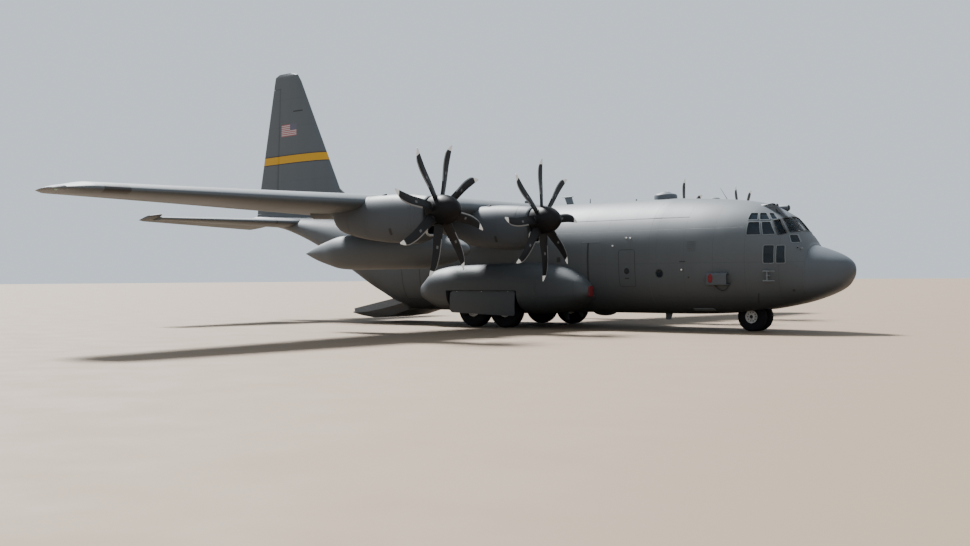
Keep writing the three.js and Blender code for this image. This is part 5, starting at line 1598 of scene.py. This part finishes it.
def tyre(wheel, x, side, groove, sides):
    """A tyre turned from a closed profile of places across and radii: rounded sides, a slightly
    crowned tread with four grooves round it, and the bead inside."""
    radius, rim = wheel["radius"], wheel["rim"]
    wall = np.array([[0.62, rim + 0.005], [0.80, rim + 0.03], [0.95, rim + 0.3 * (radius - rim)],
                     [1.0, rim + 0.55 * (radius - rim)], [0.97, rim + 0.75 * (radius - rim)],
                     [0.88, radius - 0.045], [0.74, radius - 0.018]])
    tread = []
    for middle in (0.56, 0.19, -0.19, -0.56):
        for offset, deep in ((0.05, 0), (0.045, 1), (-0.045, 1), (-0.05, 0)):
            at = middle + offset
            tread.append([at, radius - 0.010 * at**2 - groove * deep])
    profile = np.vstack([wall, tread, wall[::-1] * (-1, 1)]) * (wheel["width"] / 2, 1)
    return turned_ring(profile, (x, side * wheel["y"], radius), "y", sides)


def rim_profile(radius, half, bore):
    """A wheel rim's closed profile: flange, dish, hub and bore."""
    edge = radius + 0.004
    return np.array([[half, edge], [half, edge - 0.02], [half * 0.75, radius * 0.86],
                     [half * 0.55, radius * 0.80], [half * 0.5, radius * 0.55],
                     [half * 0.9, radius * 0.42], [half, radius * 0.38], [half, bore],
                     [-half, bore], [-half, edge]])


# Rings of bolts on a rim: count, turn of the first, reach, depth, radius, sides and finish.
RIM_BOLTS = ((10, 0, 0.68, 0.50, 0.020, 10, 2), (8, 0.5, 0.47, 0.80, 0.011, 6, 1))


def add_wheel(form, wheel, x, side, bore):
    """A rim with its hub cap, ring of bolts and holes, facing outwards."""
    centre, rim = np.array([x, side * wheel["y"], wheel["radius"]]), wheel["rim"]
    half = wheel["width"] / 2 * 0.62
    form.add(turned_ring(rim_profile(rim, half, bore) * (side, 1), centre, "y", 56))
    cap = np.array([[half * 0.5, bore], [half * 1.05, bore + 0.01], [half * 1.12, bore * 0.8],
                    [half * 1.15, 0], [half * 0.5, 0]])
    form.add(turned(cap * (side, 1), centre, "y", 28), 2)
    for count, first, reach, depth, radius, sides, kind in RIM_BOLTS:
        for a in 2 * np.pi * (np.arange(count) + first) / count:
            foot = centre + (rim * reach * np.cos(a), side * half * depth, rim * reach * np.sin(a))
            form.add(bar(foot, foot + (0, side * 0.02, 0), radius, sides), kind)
    return form


# Struts of the nose leg: foot, top, radius and sides.
NOSE_STRUTS = (
    ((9.77, 0, 1.12), (9.77, 0, 1.40), 0.115, 28), ((9.92, 0, 1.10), (10.36, 0, 1.36), 0.04),
    ((9.70, 0.05, 1.14), (9.22, 0.22, 1.38), 0.03, 14),
    ((9.70, -0.05, 1.14), (9.22, -0.22, 1.38), 0.03, 14),
)
LEG_Y = 1.70
DOOR_OUTLINE = [[-1.43, 0.56], [1.66, 0.46], [1.69, 1.38], [-1.43, 1.38]]
def crowned(x, z, out):
    """The gear door's face: it stands out furthest at its middle height and falls off as the
    square."""
    return np.stack([x, 2.895 + 0.045 * (1 - ((z - 0.92) / 0.46) ** 2) + out, z], -1)


def gear_door(form, side):
    """The crowned door over a side's wheels, its frame and its hinge pins."""
    outline = rounded(DOOR_OUTLINE, 0.13, 96)
    form.add(pane(outline, crowned, 0.0, 0.035), side=side)
    form.add(pane(widened(outline, -0.05), crowned, -0.03), 1, side=side)
    for x in (-1.1, 0.1, 1.35):
        form.add(bar((x, 2.84, 1.34), (x, 2.90, 1.34), 0.03, 12), 1, side=side)


def build_landing_gear(sizes):
    """Tyres turned from grooved profiles, rims with hubs and bolts, and the gear's struts."""
    looks, groove = ["rim", "chrome", "seal"], sizes.groove_depth
    for side_name, side in SIDES:
        for end, sign in (("front", 1), ("rear", -1)):
            tag, x = f"{end}_{side_name}", sign * MAIN_WHEEL["x"]
            put(f"main_rubber_{tag}", Form().add(tyre(MAIN_WHEEL, x, side, groove, 72)), ["rubber"],
                f"main_wheel_{tag}", [f"main_tyre_{tag}"], 40)
            put(f"main_wheel_rim_{tag}", add_wheel(Form(), MAIN_WHEEL, x, side, 0.079), looks,
                f"main_wheel_{tag}", [f"main_rim_{tag}"], 35)
    pair = Form()
    x, z = NOSE_WHEEL["x"], NOSE_WHEEL["radius"]
    for side_name, side in SIDES:
        put(f"nose_rubber_{side_name}", Form().add(tyre(NOSE_WHEEL, x, side, groove, 64)),
            ["rubber"], "nose_wheel", [f"nose_tyre_{side_name}"], 40)
        add_wheel(pair, NOSE_WHEEL, x, side, 0.052)
        pair.add(bar((x, side * 0.09, z), (x, side * 0.3, z), 0.049, 24), 1)
    pair.add(bar((x, -0.1, z), (x, 0.1, z), 0.046, 24), 1)
    put("nose_wheel_pair", pair, looks, "nose_wheel", ["nose_wheels"], 35)

    struts = Form()
    for _, side in SIDES:
        for x in (-MAIN_WHEEL["x"], MAIN_WHEEL["x"]):
            struts.add(bar((x, LEG_Y, 1.15), (x, LEG_Y, 1.62), 0.125, 28), side=side)
            struts.add(collar(1.13, 1.17, 0.08, 0.14, (x, LEG_Y, 0)), 1, side=side)
            hose = [[x - 0.15, 1.62, 1.60], [x - 0.14, 1.60, 1.30], [x - 0.12, 1.62, 1.0],
                    [x - 0.07, 1.68, 0.82]]
            struts.add(pipe(hose, 0.014, 8), 2, side=side)
            struts.add(collar(1.745, 1.88, 0.076, 0.20, (x, 0, MAIN_WHEEL["radius"]), "y", 32), 2,
                       side=side)
    put("main_leg_fittings", struts, ["steel", "chrome", "seal"])
    nose = Form()
    for rod in NOSE_STRUTS:
        nose.add(bar(*rod))
    lamp = [[1.11, 0], [1.11, 0.07], [1.06, 0.065], [1.06, 0]]
    nose.add(turned(lamp, (10.0, 0.12, 0.06), "z", 20), 1)
    put("nose_leg_fittings", nose, ["steel", "lamp"])
    put_both("gear_door_skin", gear_door, ["panel", "steel"], "gear_door_{}", sharp=40)


# ---- hold, ramp and kept nodes

# Nodes that keep their own shape, and the finish of each.
KEPT_NODES = {
    "cargo_floor": "deck", "flight_deck": "lining", "cargo_ramp": "ramp", "cargo_door": "panel",
    "nose_fork": "steel", "nose_leg": "steel", "main_leg_left": "steel", "main_leg_right": "steel",
    **{f"engine_{name}": "steel" for name, *_ in ENGINES},
}


RAIL_Y = (-1.10, -0.45, 0.45, 1.10)
SEAT_PLACES = ((9.9, 0.62), (9.9, -0.62), (8.9, 0.0))
# Pads of a seat: how far behind its middle, height, and half sizes.
SEAT_PADS = ((0.01, 2.625, (0.25, 0.23, 0.045)), (-0.20, 2.95, (0.045, 0.22, 0.30)),
             (-0.27, 3.40, (0.045, 0.13, 0.10)))


def cushion(centre, half, rows=18, sides=28):
    """A pad: a ball whose cosines and sines are raised to small powers, so that its faces are
    crowned and its edges are round."""
    up = np.linspace(-np.pi / 2, np.pi / 2, rows)[1:-1, None]
    c, s = (powered(way(around(sides)), 0.45) for way in (np.cos, np.sin))
    ring = np.cos(up) ** 0.5
    return tube(joined(ring * c, ring * s, powered(np.sin(up), 0.7)) * half + centre)


def build_hold():
    """Ribs in the hold, rails and rings on its floor, seats on the flight deck, and the finishes of
    the nodes that keep their own shape."""
    for name, look in KEPT_NODES.items():
        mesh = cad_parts[name].data
        mesh.materials.clear()
        mesh.materials.append(finish(look))
    ribs, floor, seats = Form(), Form(), Form()
    angle = np.radians(np.linspace(-28, 208, 60))
    c, s = np.cos(angle), np.sin(angle)
    power = 2 / np.where(s > 0, CROWN_POWER, BELLY_POWER)
    y, z = 1.985 * powered(c, power), 2.61 + 1.90 * powered(s, power)
    for x in np.arange(-4.9, 6.8, 0.62):
        ribs.add(pipe(joined(x, y, z), 0.035, 6))
    put("hold_ribs", ribs, ["lining"])
    for y in RAIL_Y:
        floor.add(block((-5.0, 6.7), (y - 0.06, y + 0.06), (1.031, 1.06), 0.006))
    for x in np.arange(-4.8, 6.6, 0.55):
        for y in (-1.45, 0.0, 1.45):
            floor.add(collar(1.034, 1.05, 0.035, 0.05, (x, y, 0), sides=12), 1)
    put("floor_rails", floor, ["deck", "chrome"])
    for x, y in SEAT_PLACES:
        for back, z, half in SEAT_PADS:
            seats.add(cushion((x + back, y, z), half))
    put("seat_pads", seats, ["seat"])


def build_ramp():
    """Strips along the ramp, which slopes down from its hinge."""
    slope = math.radians(10.8)
    back = np.array([-math.cos(slope), 0, -math.sin(slope)])
    up = np.array([-math.sin(slope), 0, math.cos(slope)])
    start = np.array([-5.10, 0, 0.99]) + 0.04 * up + 0.25 * back
    form = Form()
    for y in RAIL_Y:
        ring = np.array([start + (0, y + across, 0) + high * up for across, high in (
            (-0.06, 0.002), (0.06, 0.002), (0.06, 0.02), (-0.06, 0.02))])
        form.add(tube([ring, ring + 2.6 * back]))
    put("ramp_strips", form, ["deck"], "cargo_ramp")


# ---- stage


def add_sun(name, toward, spread, strength):
    """An even light from the direction of a vector, soft by its spread in degrees."""
    data = bpy.data.lights.new(name, "SUN")
    data.angle, data.energy = math.radians(spread), strength
    back = np.array(toward, float) / np.linalg.norm(toward)
    side = np.cross((0, 0.01, 1), back)
    side /= np.linalg.norm(side)
    add_object(name, data).matrix_world = axes_matrix(side, np.cross(back, side), back, 30 * back)


def build_stage(colours):
    """A pale floor, a high soft key light with a faint fill, and the photograph's camera."""
    mesh = bpy.data.meshes.new("floor")
    corners = FLOOR_HALF * np.array([(-1, -1, 0), (1, -1, 0), (1, 1, 0), (-1, 1, 0)])
    mesh.from_pydata(corners.tolist(), [], [(0, 1, 2, 3)])
    f = Finish("pale floor")
    grain = f.noise(1.5, 4.0)
    colour = f.shade(rgba(colours.floor), grain.spread(0.3, 0.7, 0.985, 1.015))
    mesh.materials.append(f.done(colour, grain.spread(0.3, 0.7, 0.75, 0.85)))
    add_object("floor", mesh)

    world = bpy.data.worlds.new("studio")
    world.use_nodes = True
    background = world.node_tree.nodes["Background"]
    background.inputs["Color"].default_value = rgba(colours.sky)
    background.inputs["Strength"].default_value = SKY_STRENGTH
    bpy.context.scene.world = world
    add_sun("key", *KEY_LIGHT)
    add_sun("fill", *FILL_LIGHT)

    yaw, pitch, roll = (math.radians(a) for a in (CAMERA_YAW, CAMERA_PITCH, CAMERA_ROLL))
    forward = (-math.sin(yaw) * math.cos(pitch), math.cos(yaw) * math.cos(pitch), math.sin(pitch))
    level = np.array([math.cos(yaw), math.sin(yaw), 0])
    above = np.cross(level, forward)
    right = math.cos(roll) * level + math.sin(roll) * above
    up = -math.sin(roll) * level + math.cos(roll) * above
    data = bpy.data.cameras.new("camera")
    data.sensor_width = SENSOR_WIDTH
    data.lens = FOCAL_PIXELS / PHOTO_WIDTH * SENSOR_WIDTH
    data.clip_start, data.clip_end = 0.1, 2000.0
    camera = add_object("camera", data)
    camera.matrix_world = axes_matrix(right, up, np.negative(forward), to_model(CAMERA_PLACE))
    bpy.context.scene.camera = camera


def axes_matrix(right, up, back, place):
    """A world matrix whose columns are the object's own axes and its place."""
    matrix = np.eye(4)
    matrix[:3, :4] = np.column_stack([right, up, back, place])
    return Matrix(matrix.tolist())


# ---- add-on


class PLANE_OT_stage(bpy.types.Operator):
    """Makes the floor, the lights and the camera"""

    bl_idname = "plane.stage"
    bl_label = "Stage"

    def execute(self, context):
        build_stage(context.scene.plane_colours)
        return {"FINISHED"}


class PLANE_OT_fuselage(bpy.types.Operator):
    """Builds the fuselage skins, the nose cone and the doors in them"""

    bl_idname = "plane.fuselage"
    bl_label = "Fuselage"

    def execute(self, context):
        build_fuselage(context.scene.plane_sizes)
        return {"FINISHED"}


class PLANE_OT_windows(bpy.types.Operator):
    """Builds the flight deck windows and their frames"""

    bl_idname = "plane.windows"
    bl_label = "Windows"

    def execute(self, context):
        build_windows(context.scene.plane_sizes)
        return {"FINISHED"}


class PLANE_OT_skin_details(bpy.types.Operator):
    """Builds the seams, lamps, aerials, vents and probes on the fuselage"""

    bl_idname = "plane.skin_details"
    bl_label = "Skin details"

    def execute(self, context):
        build_skin_details(context.scene.plane_sizes)
        return {"FINISHED"}


class PLANE_OT_wing(bpy.types.Operator):
    """Builds the wing, its flaps and its ailerons"""

    bl_idname = "plane.wing"
    bl_label = "Wing"

    def execute(self, context):
        build_wing()
        return {"FINISHED"}


class PLANE_OT_tail(bpy.types.Operator):
    """Builds the tailplane, elevators, fin and rudder"""

    bl_idname = "plane.tail"
    bl_label = "Tail"

    def execute(self, context):
        build_tail()
        return {"FINISHED"}


class PLANE_OT_nacelles(bpy.types.Operator):
    """Builds the nacelles with their intakes and exhausts"""

    bl_idname = "plane.nacelles"
    bl_label = "Nacelles"

    def execute(self, context):
        build_nacelles()
        return {"FINISHED"}


class PLANE_OT_propellers(bpy.types.Operator):
    """Builds the propeller blades and spinners"""

    bl_idname = "plane.propellers"
    bl_label = "Propellers"

    def execute(self, context):
        build_propellers()
        return {"FINISHED"}


class PLANE_OT_tanks(bpy.types.Operator):
    """Builds the tanks under the wing and their pylons"""

    bl_idname = "plane.tanks"
    bl_label = "Tanks"

    def execute(self, context):
        build_tanks()
        return {"FINISHED"}


class PLANE_OT_sponsons(bpy.types.Operator):
    """Builds the sponsons round the main wheels"""

    bl_idname = "plane.sponsons"
    bl_label = "Sponsons"

    def execute(self, context):
        build_sponsons()
        return {"FINISHED"}


class PLANE_OT_landing_gear(bpy.types.Operator):
    """Builds the tyres, rims and struts"""

    bl_idname = "plane.landing_gear"
    bl_label = "Landing gear"

    def execute(self, context):
        build_landing_gear(context.scene.plane_sizes)
        return {"FINISHED"}


class PLANE_OT_hold(bpy.types.Operator):
    """Fits out the hold, the flight deck and the ramp, and finishes the kept nodes"""

    bl_idname = "plane.hold"
    bl_label = "Hold and ramp"

    def execute(self, context):
        build_hold()
        build_ramp()
        return {"FINISHED"}


OPERATORS = (
    PLANE_OT_stage, PLANE_OT_fuselage, PLANE_OT_windows, PLANE_OT_skin_details, PLANE_OT_wing,
    PLANE_OT_tail, PLANE_OT_nacelles, PLANE_OT_propellers, PLANE_OT_tanks, PLANE_OT_sponsons,
    PLANE_OT_landing_gear, PLANE_OT_hold,
)


class PLANE_PT_panel(bpy.types.Panel):
    """Lists the pieces of the aeroplane"""

    bl_idname = "PLANE_PT_panel"
    bl_label = "Transport plane"
    bl_space_type = "VIEW_3D"
    bl_region_type = "UI"
    bl_category = "Plane"

    def draw(self, context):
        for group in (context.scene.plane_sizes, context.scene.plane_colours):
            for name in group.__annotations__:
                self.layout.prop(group, name)
        for operator in OPERATORS:
            self.layout.operator(operator.bl_idname)


CLASSES = (PlaneColours, PlaneSizes, *OPERATORS, PLANE_PT_panel)


def register():
    """Registers the classes and puts their settings on the scene."""
    for entry in CLASSES:
        bpy.utils.register_class(entry)
    bpy.types.Scene.plane_colours = bpy.props.PointerProperty(type=PlaneColours)
    bpy.types.Scene.plane_sizes = bpy.props.PointerProperty(type=PlaneSizes)


def unregister():
    """Takes the settings and classes away again."""
    del bpy.types.Scene.plane_sizes
    del bpy.types.Scene.plane_colours
    for entry in reversed(CLASSES):
        bpy.utils.unregister_class(entry)


def main():
    register()
    for operator in OPERATORS:
        group, name = operator.bl_idname.split(".")
        getattr(getattr(bpy.ops, group), name)()


if __name__ == "__main__":
    main()
